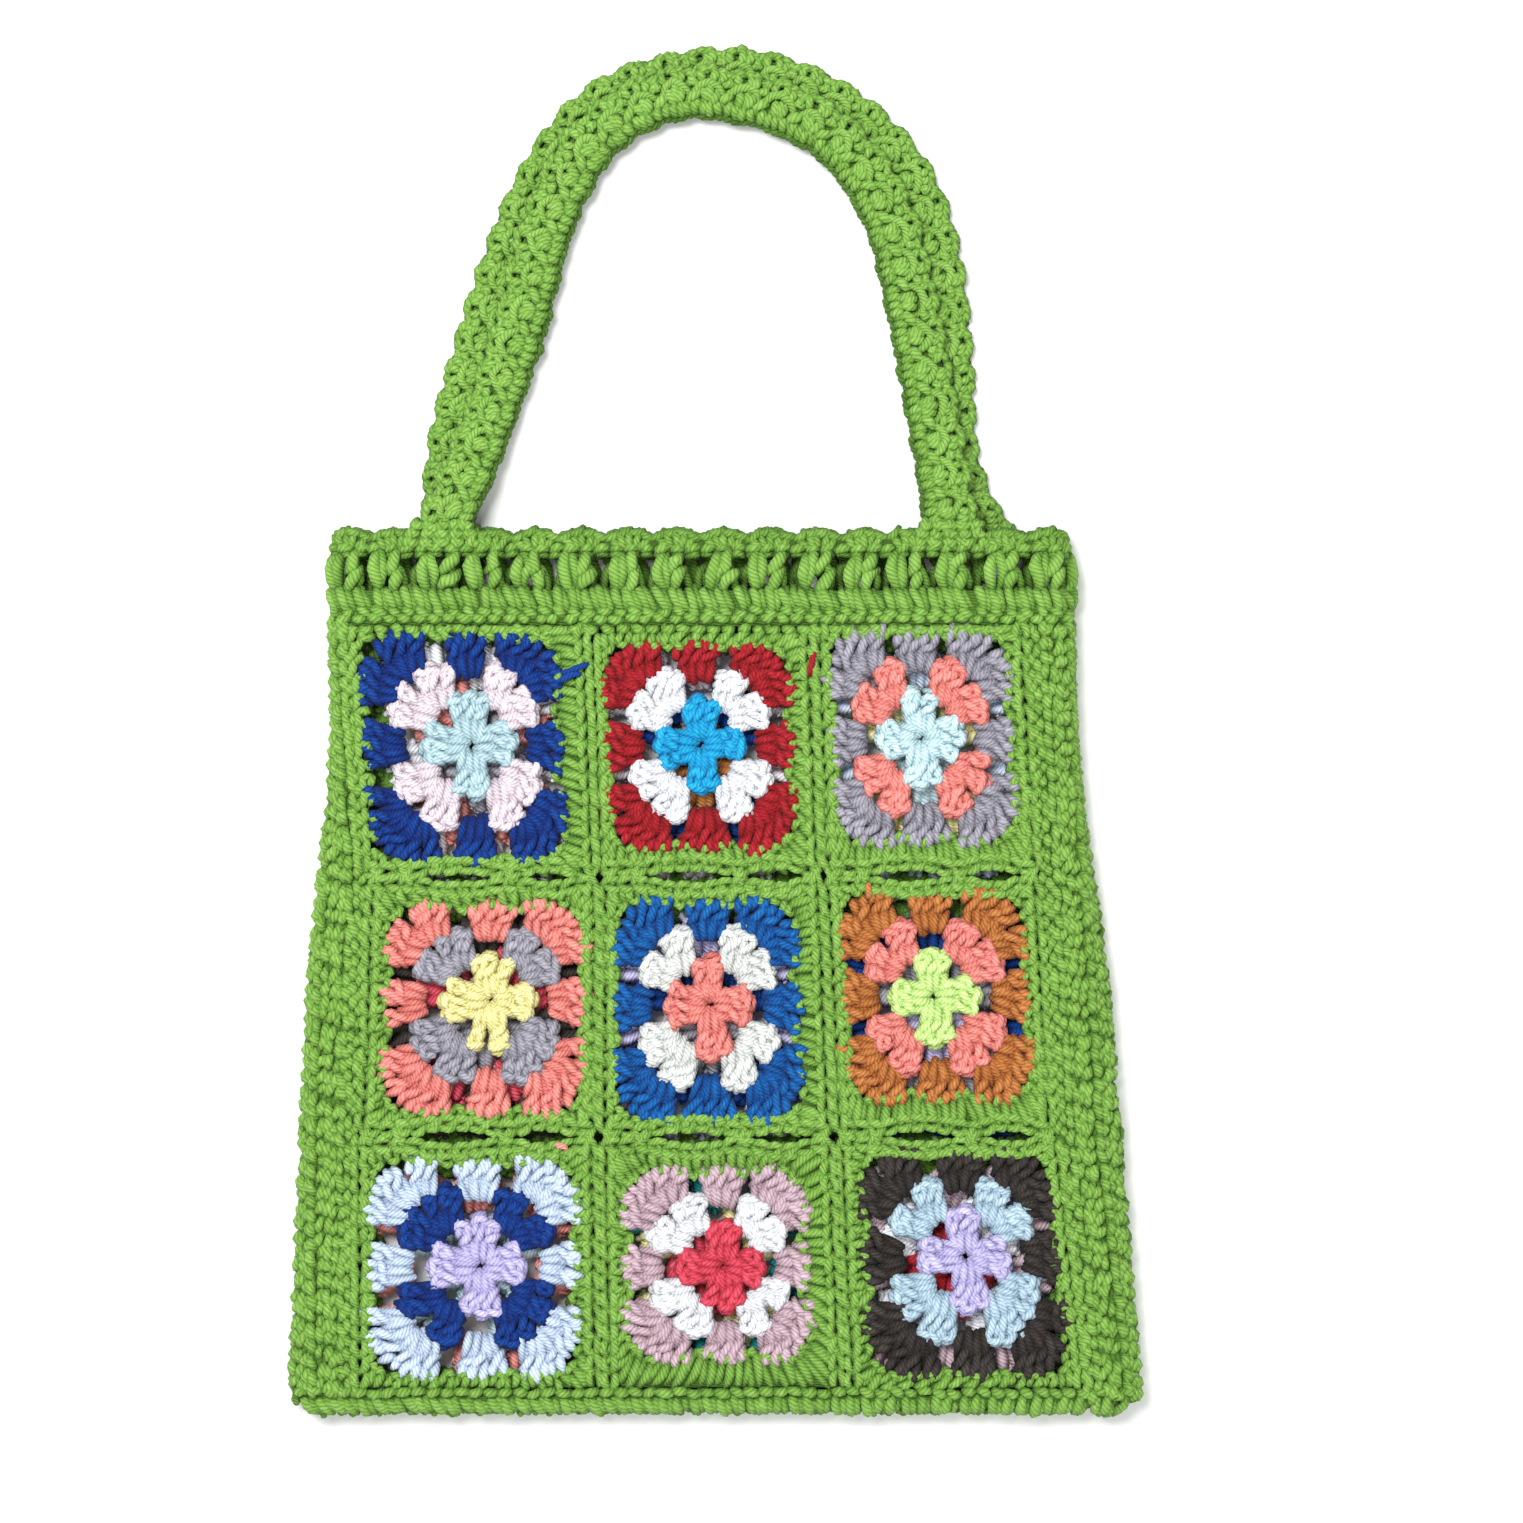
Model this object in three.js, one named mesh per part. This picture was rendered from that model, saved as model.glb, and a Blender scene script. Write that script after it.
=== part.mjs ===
// Crocheted granny-square tote bag, laid on its back with both handles lying flat above the mouth.
// Millimetres. X runs across the bag, Y from the bottom edge to the handles, Z up from the table.
// Each panel is three by three granny squares inside crocheted strips. The two panels meet along
// the rounded sides and bottom, and stay open at the mouth.

import * as THREE from 'three';

// Outline of the body
const bottomWidth = 330;
const mouthWidth = 287;
const mouthShift = -6; // the mouth lies a little to the left of the bottom edge
const bodyHeight = 337; // from the bottom edge to the dips of the scalloped rim
const cornerRound = 14;

// Strips of rows round the nine squares
const bottomStrip = 8;
const sideStrip = 25;
const topBand = 34;

// Crocheted cloth
const fabric = 4.5; // thickness of one panel
const hollow = 6; // space between the panels
const stitchGap = 0.3; // left between pieces that are crocheted together

// Scalloped rim of the mouth
const rimPitch = 17;
const rimShell = 3.5;

// Handles
const handleThickness = 5;
const handleBody = 18.5; // width between the dips of the shells
const handlePitch = 13.5;
const handleShell = { outer: 2.2, inner: 1 };
const handleDrop = 60; // length over which the front handle comes down onto the back one
const handleTurn = 30; // length over which its rows turn from the rim's direction to its own
const frontHandle = { middle: -7, spread: 195, rise: 168 };
const backHandle = { middle: -0.5, spread: 207, rise: 176 };

// Thickness of each round of a front square: the flower in the middle stands proudest
const roundThickness = { centre: 5.4, second: 5.1, third: 4.8, green: fabric };

// The lines on which the squares meet, from the bottom strip up to the top band.
// up: share of the height of the nine squares. left, right: width of the side strip there, as a
// share of sideStrip. first, second: the two upright seams, as shares of the squares' width.
const frontSeams = [
  { up: 0, left: 1.08, right: 0.92, first: 0.338, second: 0.673 },
  { up: 0.336, left: 0.9, right: 1.04, first: 0.346, second: 0.685 },
  { up: 0.675, left: 0.86, right: 0.95, first: 0.347, second: 0.679 },
  { up: 1, left: 0.42, right: 0.84, first: 0.356, second: 0.686 },
];
const backSeams = [
  { up: 0, left: 1, right: 1, first: 0.325, second: 0.66 },
  { up: 0.312, left: 1, right: 0.95, first: 0.33, second: 0.665 },
  { up: 0.648, left: 0.95, right: 0.9, first: 0.33, second: 0.66 },
  { up: 1, left: 0.8, right: 0.8, first: 0.325, second: 0.665 },
];

// Outlines of the rounds of a granny square, as shares of half a square. Each row is one eighth of
// an outline: along is measured from the middle of a side, out from the middle of the square.
// diagonal is the point on the corner line, where the outline has one.
const petalOutline = {
  eighth: [
    { along: 0.075, out: 0.365 },
    { along: 0.135, out: 0.3 },
    { along: 0.155, out: 0.2 },
  ],
  diagonal: 0.165,
};
const roomRoundPetals = {
  eighth: [
    { along: 0.085, out: 0.465 },
    { along: 0.135, out: 0.3 },
    { along: 0.155, out: 0.2 },
  ],
  diagonal: 0.165,
};
const secondOutline = {
  eighth: [
    { along: 0.045, out: 0.525 },
    { along: 0.07, out: 0.57 },
    { along: 0.14, out: 0.61 },
    { along: 0.26, out: 0.61 },
    { along: 0.35, out: 0.54 },
    { along: 0.375, out: 0.43 },
  ],
  diagonal: 0.36,
};
const roomRoundSecond = {
  eighth: [
    { along: 0.045, out: 0.525 },
    { along: 0.07, out: 0.57 },
    { along: 0.14, out: 0.61 },
    { along: 0.17, out: 0.8 },
    { along: 0.285, out: 0.8 },
    { along: 0.26, out: 0.61 },
    { along: 0.35, out: 0.54 },
    { along: 0.375, out: 0.43 },
  ],
  diagonal: 0.36,
};
const thirdOutline = {
  eighth: [
    { along: 0.6, out: 0.85 },
    { along: 0.745, out: 0.815 },
  ],
};

// Slits that stay open between the joining stitches of a level seam: from and to along the seam,
// as shares of half a square, and how deep each edge pulls back.
const slits = [
  { from: -0.6, to: 0.14 },
  { from: 0.34, to: 0.86 },
];
const slitDepth = 1.6;
const slitShoulder = 0.25; // share of a slit's length over which it opens

// Routes of the handles from the left foot to the right one. across: share of half the spread,
// from the middle. up: share of the rise.
const frontRoute = [
  { across: -1, up: 0 },
  { across: -0.86, up: 0.2 },
  { across: -0.675, up: 0.52 },
  { across: -0.6, up: 0.69 },
  { across: -0.4, up: 0.9 },
  { across: -0.1, up: 0.995 },
  { across: 0.2, up: 0.985 },
  { across: 0.52, up: 0.905 },
  { across: 0.74, up: 0.74 },
  { across: 0.86, up: 0.48 },
  { across: 0.945, up: 0.21 },
  { across: 1, up: 0 },
];
const backRoute = [
  { across: -1, up: 0 },
  { across: -0.98, up: 0.17 },
  { across: -0.83, up: 0.49 },
  { across: -0.63, up: 0.78 },
  { across: -0.4, up: 0.935 },
  { across: 0, up: 1 },
  { across: 0.3, up: 0.97 },
  { across: 0.55, up: 0.885 },
  { across: 0.73, up: 0.76 },
  { across: 0.83, up: 0.58 },
  { across: 0.87, up: 0.35 },
  { across: 0.9, up: 0.13 },
  { across: 1, up: 0 },
];

// Yarns and the squares made of them, from the middle outwards
const yarn = {
  green: 0x7db83a,
  navy: 0x1b2f78,
  pale_pink: 0xe9dbe2,
  duck_egg: 0xa9bfc0,
  white: 0xf2f4f8,
  brick_red: 0xa3283a,
  cerulean: 0x2b9bd0,
  grey: 0x8b8d9b,
  coral: 0xf7706a,
  aqua: 0xa9e0e2,
  yellow: 0xf2e765,
  royal_blue: 0x1a4f98,
  off_white: 0xdcdcd6,
  caramel: 0xa8622e,
  lime: 0xc3ea72,
  pale_blue: 0xbdd4ee,
  lilac: 0xbfa4ea,
  rose: 0xdc3f52,
  mauve: 0xb596aa,
  charcoal: 0x443d3e,
  dusty_blue: 0xa3bccb,
  teal: 0x1f8a8c,
};
const frontSquares = [
  { name: 'top_left', line: 2, column: 0, centre: 'duck_egg', second: 'pale_pink', third: 'navy' },
  { name: 'top_middle', line: 2, column: 1, centre: 'cerulean', second: 'white', third: 'brick_red' },
  { name: 'top_right', line: 2, column: 2, centre: 'aqua', second: 'coral', third: 'grey' },
  { name: 'middle_left', line: 1, column: 0, centre: 'yellow', second: 'grey', third: 'coral' },
  { name: 'middle', line: 1, column: 1, centre: 'coral', second: 'off_white', third: 'royal_blue' },
  { name: 'middle_right', line: 1, column: 2, centre: 'lime', second: 'coral', third: 'caramel' },
  { name: 'bottom_left', line: 0, column: 0, centre: 'lilac', second: 'navy', third: 'pale_blue' },
  { name: 'bottom_middle', line: 0, column: 1, centre: 'rose', second: 'white', third: 'mauve' },
  { name: 'bottom_right', line: 0, column: 2, centre: 'lilac', second: 'dusty_blue', third: 'charcoal' },
];
const backSquares = [
  { name: 'top_left', line: 2, column: 0, third: 'white' },
  { name: 'top_middle', line: 2, column: 1, third: 'pale_pink' },
  { name: 'top_right', line: 2, column: 2, third: 'pale_blue' },
  { name: 'middle_left', line: 1, column: 0, third: 'charcoal' },
  { name: 'middle', line: 1, column: 1, third: 'lilac' },
  { name: 'middle_right', line: 1, column: 2, third: 'navy' },
  { name: 'bottom_left', line: 0, column: 0, third: 'coral' },
  { name: 'bottom_middle', line: 0, column: 1, third: 'teal' },
  { name: 'bottom_right', line: 0, column: 2, third: 'mauve' },
];

const { lerp, smoothstep, degToRad, clamp } = THREE.MathUtils;
const halfThickness = fabric + hollow / 2;
const arcAngles = [0, 30, 60, 90].map(degToRad);

function yarnMaterial(name) {
  return new THREE.MeshStandardMaterial({ name, color: yarn[name], roughness: 0.9, metalness: 0 });
}

function named(name, geometry, yarnName) {
  const mesh = new THREE.Mesh(geometry, yarnMaterial(yarnName));
  mesh.name = name;
  return mesh;
}

// Left (-1) or right (+1) edge of the body at a height above its bottom edge.
function bodyEdge(side, y) {
  const share = y / bodyHeight;
  return mouthShift * share + (side * lerp(bottomWidth, mouthWidth, share)) / 2;
}

// A corner of the squares: seams is one panel's table, column 0 to 3 from left to right.
function seamCorner(seams, line, column) {
  const seam = seams[line];
  const y = lerp(bottomStrip, bodyHeight - topBand, seam.up);
  const left = bodyEdge(-1, y) + sideStrip * seam.left;
  const right = bodyEdge(1, y) - sideStrip * seam.right;
  return new THREE.Vector2(lerp(left, right, [0, seam.first, seam.second, 1][column]), y);
}

// One square's place: its middle, and a function from shares of half a square to millimetres.
function squarePlace(seams, line, column) {
  const lowLeft = seamCorner(seams, line, column);
  const lowRight = seamCorner(seams, line, column + 1);
  const highLeft = seamCorner(seams, line + 1, column);
  const highRight = seamCorner(seams, line + 1, column + 1);
  const at = (u, v) => {
    const low = lowLeft.clone().lerp(lowRight, (u + 1) / 2);
    const high = highLeft.clone().lerp(highRight, (u + 1) / 2);
    return low.lerp(high, (v + 1) / 2);
  };
  const middle = at(0, 0);
  return { middle, at: (u, v) => at(u, v).sub(middle) };
}

// Repeats one eighth of an outline, and its mirror image, on the four sides of a square.
function roundTheSquare(place, outline) {
  const side = [
    ...outline.eighth.map(({ along, out }) => [-along, out]).reverse(),
    ...outline.eighth.map(({ along, out }) => [along, out]),
  ];
  if (outline.diagonal) side.push([outline.diagonal, outline.diagonal]);
  const turns = [
    (u, v) => [u, v],
    (u, v) => [v, -u],
    (u, v) => [-u, -v],
    (u, v) => [-v, u],
  ];
  return turns.flatMap((turn) => side.map(([u, v]) => place.at(...turn(u, v))));
}

// A clockwise outline moved inwards by a distance, with mitred corners. Negative moves it outwards.
function inset(points, distance) {
  return points.map((point, i) => {
    const before = points[(i + points.length - 1) % points.length];
    const after = points[(i + 1) % points.length];
    const into = point.clone().sub(before).normalize();
    const away = after.clone().sub(point).normalize();
    const normalIn = new THREE.Vector2(into.y, -into.x);
    const normalOut = new THREE.Vector2(away.y, -away.x);
    const mitre = normalIn.clone().add(normalOut).normalize();
    return point.clone().addScaledVector(mitre, distance / mitre.dot(normalIn));
  });
}

// A flat piece of cloth: both outlines are clockwise.
function plate(outline, hole, thickness) {
  const shape = new THREE.Shape([...outline].reverse());
  if (hole) shape.holes.push(new THREE.Path(hole));
  return new THREE.ExtrudeGeometry(shape, { depth: thickness, bevelEnabled: false });
}

// The outer edge of a square's green round, pulled back at the slits of its level seams.
function greenOutline(place, line) {
  const depthAt = (share) => clamp(Math.min(share, 1 - share) / slitShoulder, 0, 1) * slitDepth;
  const levelEdge = (v, open) => {
    if (!open) return [];
    return slits.flatMap(({ from, to }) =>
      [0, slitShoulder, 1 - slitShoulder, 1].map((share) => {
        const edge = place.at(lerp(from, to, share), v);
        edge.y -= v * depthAt(share);
        return edge;
      })
    );
  };
  const top = levelEdge(1, line < frontSeams.length - 2);
  const bottom = levelEdge(-1, line > 0).reverse();
  return [place.at(-1, 1), ...top, place.at(1, 1), place.at(1, -1), ...bottom, place.at(-1, -1)];
}

function frontSquare({ name, line, column, centre, second, third }) {
  const place = squarePlace(frontSeams, line, column);
  const half = stitchGap / 2;
  const line1 = roundTheSquare(place, petalOutline);
  const room1 = roundTheSquare(place, roomRoundPetals);
  const line2 = roundTheSquare(place, secondOutline);
  const room2 = roundTheSquare(place, roomRoundSecond);
  const line3 = roundTheSquare(place, thirdOutline);
  const edge = greenOutline(place, line);
  const square = new THREE.Group();
  square.add(
    named(`front_${name}_centre`, plate(inset(line1, half), null, roundThickness.centre), centre),
    named(
      `front_${name}_second_round`,
      plate(inset(line2, half), inset(room1, -half), roundThickness.second),
      second
    ),
    named(
      `front_${name}_third_round`,
      plate(inset(line3, half), inset(room2, -half), roundThickness.third),
      third
    ),
    named(
      `front_${name}_green_round`,
      plate(inset(edge, half), inset(line3, -half), roundThickness.green),
      'green'
    )
  );
  square.position.set(place.middle.x, place.middle.y, fabric + hollow);
  return square;
}

function backSquare({ name, line, column, third }) {
  const place = squarePlace(backSeams, line, column);
  const outline = inset(greenOutline(place, line), stitchGap / 2);
  const square = named(`back_${name}_square`, plate(outline, null, fabric), third);
  square.position.set(place.middle.x, place.middle.y, 0);
  return square;
}

// A closed wall between two surfaces, each a grid of points with as many rows and columns.
function wall(faceA, faceB) {
  const rows = faceA.length;
  const columns = faceA[0].length;
  const points = [...faceA.flat(), ...faceB.flat()];
  const a = (row, column) => row * columns + column;
  const b = (row, column) => rows * columns + a(row, column);
  const triangles = [];
  const quad = (p, q, r, s) => triangles.push(p, q, r, p, r, s);
  for (let row = 0; row < rows - 1; row++) {
    for (let column = 0; column < columns - 1; column++) {
      quad(a(row, column), a(row, column + 1), a(row + 1, column + 1), a(row + 1, column));
      quad(b(row, column), b(row + 1, column), b(row + 1, column + 1), b(row, column + 1));
    }
  }
  for (let row = 0; row < rows - 1; row++) {
    quad(a(row, 0), a(row + 1, 0), b(row + 1, 0), b(row, 0));
    quad(a(row + 1, columns - 1), a(row, columns - 1), b(row, columns - 1), b(row + 1, columns - 1));
  }
  for (let column = 0; column < columns - 1; column++) {
    quad(a(0, column + 1), a(0, column), b(0, column), b(0, column + 1));
    quad(a(rows - 1, column), a(rows - 1, column + 1), b(rows - 1, column + 1), b(rows - 1, column));
  }
  const volume = triangles.reduce((sum, _, i) => {
    if (i % 3) return sum;
    const [p, q, r] = [0, 1, 2].map((k) => points[triangles[i + k]]);
    return sum + p.dot(q.clone().cross(r));
  }, 0);
  if (volume < 0) triangles.reverse();
  const geometry = new THREE.BufferGeometry().setFromPoints(points);
  geometry.setIndex(triangles);
  return geometry;
}

// The two faces of the cloth where it runs from an inner edge to the rounded outer edge of the
// body and down to the seam between the panels. facing is +1 for the front panel, -1 for the back.
function edgeProfile(inner, outer, facing) {
  const direction = outer.clone().sub(inner);
  const length = direction.length();
  direction.normalize();
  const bend = Math.min(halfThickness, length);
  const point = (along, height) => {
    const lifted = Math.max(height, stitchGap / 2);
    const flat = inner.clone().addScaledVector(direction, along);
    return new THREE.Vector3(flat.x, flat.y, halfThickness + facing * lifted);
  };
  const bendPoint = (reach, height) => (angle) =>
    point(length - bend + reach * Math.sin(angle), height * Math.cos(angle));
  return {
    outside: [point(0, halfThickness), ...arcAngles.map(bendPoint(bend, halfThickness))],
    inside: [point(0, hollow / 2), ...arcAngles.map(bendPoint(bend - fabric, hollow / 2))],
  };
}

function strip(stations, facing) {
  const profiles = stations.map(({ inner, outer }) => edgeProfile(inner, outer, facing));
  return wall(profiles.map((p) => p.outside), profiles.map((p) => p.inside));
}

// A station on the round of a bottom corner: turn 0 is on the side, 1 on the bottom edge.
function cornerOuter(side, turn) {
  const angle = (turn * Math.PI) / 2;
  const x = bodyEdge(side, cornerRound) - side * cornerRound * (1 - Math.cos(angle));
  return new THREE.Vector2(x, cornerRound * (1 - Math.sin(angle)));
}

function sideStripOf(seams, side, facing) {
  const column = side < 0 ? 0 : 3;
  const gap = new THREE.Vector2((side * stitchGap) / 2, 0);
  const upTo = seams.length - 1;
  const corner = seamCorner(seams, 0, column);
  const next = seamCorner(seams, 1, column);
  const alongSide = (line) => {
    const inner = seamCorner(seams, line, column);
    const outer = new THREE.Vector2(bodyEdge(side, inner.y), inner.y);
    return { inner: inner.add(gap), outer };
  };
  const roundCorner = (turn) => {
    const rise = cornerRound * (1 - 2 * turn);
    const inner = corner.clone().lerp(next, rise / (next.y - corner.y)).add(gap);
    inner.y += stitchGap / 2;
    const outer = cornerOuter(side, turn);
    outer.y += stitchGap / 2;
    return { inner, outer };
  };
  const stations = [0.5, 0.25, 0].map(roundCorner);
  for (let line = 1; line < upTo; line++) stations.push(alongSide(line));
  const last = alongSide(upTo);
  last.inner.y -= stitchGap / 2;
  last.outer.y -= stitchGap / 2;
  stations.push(last);
  return strip(stations, facing);
}

function bottomStripOf(seams, facing) {
  const cornerStations = (side) => {
    const corner = seamCorner(seams, 0, side < 0 ? 0 : 3);
    return [0.5, 0.75, 1].map((turn) => {
      const inner = corner.clone();
      inner.x -= side * cornerRound * (2 * turn - 1);
      inner.y -= stitchGap / 2;
      const outer = cornerOuter(side, turn);
      outer.y -= turn < 1 ? stitchGap / 2 : 0;
      return { inner, outer };
    });
  };
  return strip([...cornerStations(-1), ...cornerStations(1).reverse()], facing);
}

// Distance from an x on the rim to the nearest foot of a handle, less half the foot's width.
function beyondFoot(handle, x) {
  const reach = Math.abs(Math.abs(x - handle.middle) - handle.spread / 2);
  return reach - handleBody / 2 - handleShell.outer;
}

// The band above the squares, from its lower edge to the scalloped rim.
function topBandOf(handle, facing) {
  const low = bodyHeight - topBand + stitchGap / 2;
  const shells = Math.round((mouthWidth - 2 * halfThickness) / rimPitch);
  const shares = [];
  for (let shell = 0; shell < shells; shell++) {
    shares.push(...[0, 0.25, 0.75].map((phase) => ({ share: (shell + phase) / shells, phase })));
  }
  shares.push({ share: 1, phase: 0 });
  const flatX = (y, share) =>
    lerp(bodyEdge(-1, y) + halfThickness, bodyEdge(1, y) - halfThickness, share);
  const bendX = (y, side, angle, radius) =>
    bodyEdge(side, y) - side * (halfThickness - radius * Math.sin(angle));
  const ends = (side) =>
    arcAngles.slice(1).map((angle) => (y, radius) => {
      const height = Math.max(radius * Math.cos(angle), stitchGap / 2);
      return new THREE.Vector3(bendX(y, side, angle, radius), y, halfThickness + facing * height);
    });
  const middle = shares.map(({ share }) => (y, radius) =>
    new THREE.Vector3(flatX(y, share), y, halfThickness + facing * radius));
  const columns = [...ends(-1).reverse(), ...middle, ...ends(1)];
  const firstMiddle = arcAngles.length - 1;
  const rimAt = columns.map((_, i) => {
    const station = shares[i - firstMiddle];
    if (!station) return bodyHeight;
    const underHandle = beyondFoot(handle, flatX(bodyHeight, station.share)) < rimPitch / 4;
    return bodyHeight + (station.phase > 0 || underHandle ? rimShell : 0);
  });
  const face = (radius) => [
    columns.map((column) => column(low, radius)),
    columns.map((column, i) => column(rimAt[i], radius)),
  ];
  return wall(face(halfThickness), face(hollow / 2));
}

// A handle along its route. footUnderside is the height of its feet above the table, restUnderside
// that of the rest of it.
function handleGeometry(handle, route, footUnderside, restUnderside) {
  const footY = bodyHeight + rimShell + stitchGap;
  const curve = new THREE.CatmullRomCurve3(
    route.map(({ across, up }) =>
      new THREE.Vector3(handle.middle + (across * handle.spread) / 2, footY + up * handle.rise, 0)),
    false,
    'centripetal'
  );
  const length = curve.getLength();
  const shells = Math.round(length / handlePitch);
  const stations = [{ share: 0, phase: 0 }];
  for (let shell = 0; shell < shells; shell++) {
    stations.push(...[0.28, 0.72].map((phase) => ({ share: (shell + phase) / shells, phase })));
    stations.push({ share: (shell + 1) / shells, phase: 0 });
  }
  const faces = stations.map(({ share, phase }) => {
    const middle = curve.getPointAt(share);
    const tangent = curve.getTangentAt(share);
    const fromFoot = Math.min(share, 1 - share) * length;
    const alongRim = new THREE.Vector3(share < 0.5 ? -1 : 1, 0, 0);
    const square = new THREE.Vector3(-tangent.y, tangent.x, 0);
    const outward = alongRim.lerp(square, smoothstep(fromFoot, 0, handleTurn)).normalize();
    const underside = lerp(footUnderside, restUnderside, smoothstep(fromFoot, 0, handleDrop));
    const swell = phase > 0 ? 1 : 0;
    const outerEdge = middle.clone().addScaledVector(outward, handleBody / 2 + swell * handleShell.outer);
    const innerEdge = middle.clone().addScaledVector(outward, -handleBody / 2 - swell * handleShell.inner);
    const at = (z) => [outerEdge, innerEdge].map((edge) => edge.clone().setZ(z));
    return { top: at(underside + handleThickness), bottom: at(underside) };
  });
  return wall(faces.map((f) => f.top), faces.map((f) => f.bottom));
}

const frontPanel = new THREE.Group();
frontPanel.add(
  ...frontSquares.map(frontSquare),
  named('front_left_strip', sideStripOf(frontSeams, -1, 1), 'green'),
  named('front_right_strip', sideStripOf(frontSeams, 1, 1), 'green'),
  named('front_bottom_strip', bottomStripOf(frontSeams, 1), 'green'),
  named('front_top_band', topBandOf(frontHandle, 1), 'green'),
  named('front_handle', handleGeometry(frontHandle, frontRoute, fabric + hollow, handleThickness + stitchGap), 'green')
);

const backPanel = new THREE.Group();
backPanel.add(
  ...backSquares.map(backSquare),
  named('back_left_strip', sideStripOf(backSeams, -1, -1), 'green'),
  named('back_right_strip', sideStripOf(backSeams, 1, -1), 'green'),
  named('back_bottom_strip', bottomStripOf(backSeams, -1), 'green'),
  named('back_top_band', topBandOf(backHandle, -1), 'green'),
  named('back_handle', handleGeometry(backHandle, backRoute, 0, 0), 'green')
);

// The origin is on the table, under the middle of the whole bag with its handles.
const bag = new THREE.Group();
bag.add(frontPanel, backPanel);
const extent = new THREE.Box3().setFromObject(bag);
const middle = extent.getCenter(new THREE.Vector3());
bag.position.set(-middle.x, -middle.y, -extent.min.z);
bag.updateMatrixWorld(true);

export default bag;
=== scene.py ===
"""A crocheted granny-square tote, lying on its back with its handles laid flat above the mouth.

Metres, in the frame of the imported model: X across the bag, Y from the bottom edge to the handles,
Z up from the surface that it lies on. Every stitch is made of strands of yarn: a short path of
points, carried to each place where the stitch is worked, with a round tube along it.
"""

import math

import bpy
import numpy as np
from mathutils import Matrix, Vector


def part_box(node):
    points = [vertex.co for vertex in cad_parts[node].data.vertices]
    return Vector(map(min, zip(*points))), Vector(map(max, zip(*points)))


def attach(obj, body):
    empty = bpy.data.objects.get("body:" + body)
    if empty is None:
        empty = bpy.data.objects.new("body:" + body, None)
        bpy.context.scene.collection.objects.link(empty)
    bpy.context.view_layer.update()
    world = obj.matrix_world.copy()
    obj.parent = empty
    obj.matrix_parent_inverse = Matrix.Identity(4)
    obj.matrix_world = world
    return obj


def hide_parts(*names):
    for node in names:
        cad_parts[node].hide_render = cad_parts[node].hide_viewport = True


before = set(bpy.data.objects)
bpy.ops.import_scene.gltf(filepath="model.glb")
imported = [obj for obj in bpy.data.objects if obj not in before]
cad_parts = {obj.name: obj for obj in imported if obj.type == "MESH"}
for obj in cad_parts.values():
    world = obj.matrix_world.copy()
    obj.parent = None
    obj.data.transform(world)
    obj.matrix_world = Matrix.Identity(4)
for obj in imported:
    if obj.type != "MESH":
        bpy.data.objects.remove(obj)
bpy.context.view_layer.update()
chance = np.random.default_rng(63)

# The view
# The bag was photographed from straight above, in soft and even light. The camera stands over the
# middle of the photograph, which lies to the right of the bag's middle and a little below it.
PHOTO_SIDE = 0.585  # width and height of what the photograph shows, at the bag
PHOTO_MIDDLE = (0.0178, -0.0132)
BAG_LEVEL = 0.009  # height of the bag's outline above the floor
CAMERA_HEIGHT = 1.5
SENSOR = 0.036
MILLIMETRES = 1000  # in a metre
SKY_STRENGTH = 0.44

scene = bpy.context.scene
scene.view_settings.view_transform = "Standard"
camera_data = bpy.data.cameras.new("camera")
camera_data.sensor_width = SENSOR * MILLIMETRES
camera_data.lens = SENSOR * MILLIMETRES * (CAMERA_HEIGHT - BAG_LEVEL) / PHOTO_SIDE
camera = bpy.data.objects.new("camera", camera_data)
camera.location = (*PHOTO_MIDDLE, CAMERA_HEIGHT)
scene.collection.objects.link(camera)
scene.camera = camera

world = bpy.data.worlds.new("studio")
scene.world = world
world.use_nodes = True
sky = world.node_tree.nodes["Background"]
sky.inputs["Color"].default_value = (1.0, 1.0, 1.0, 1.0)
sky.inputs["Strength"].default_value = SKY_STRENGTH

LAMPS = [
    {"name": "key", "place": (-0.6, 0.7, 1.6), "size": 0.9, "watts": 37.0},
    {"name": "fill", "place": (0.7, -1.0, 1.3), "size": 1.4, "watts": 13.0},
]
for lamp in LAMPS:
    light = bpy.data.lights.new(lamp["name"], "AREA")
    light.size = lamp["size"]
    light.energy = lamp["watts"]
    holder = bpy.data.objects.new(lamp["name"], light)
    holder.location = lamp["place"]
    aim = np.array(PHOTO_MIDDLE + (0.0,)) - np.array(lamp["place"])
    holder.rotation_mode = "QUATERNION"
    holder.rotation_quaternion = Vector(aim).to_track_quat("-Z", "Y")
    scene.collection.objects.link(holder)

FLOOR_HALF = 4.0
FLOOR_COLOUR = (0.93, 0.93, 0.925, 1.0)
floor_mesh = bpy.data.meshes.new("floor")
floor_corners = [(x * FLOOR_HALF, y * FLOOR_HALF, 0) for x, y in ((-1, -1), (1, -1), (1, 1), (-1, 1))]
floor_mesh.from_pydata(floor_corners, [], [(0, 1, 2, 3)])
floor = bpy.data.objects.new("floor", floor_mesh)
floor_finish = bpy.data.materials.new("pale_floor")
floor_finish.use_nodes = True
floor_shader = floor_finish.node_tree.nodes["Principled BSDF"]
floor_shader.inputs["Base Color"].default_value = FLOOR_COLOUR
floor_shader.inputs["Roughness"].default_value = 0.9
floor_mesh.materials.append(floor_finish)
scene.collection.objects.link(floor)

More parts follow.
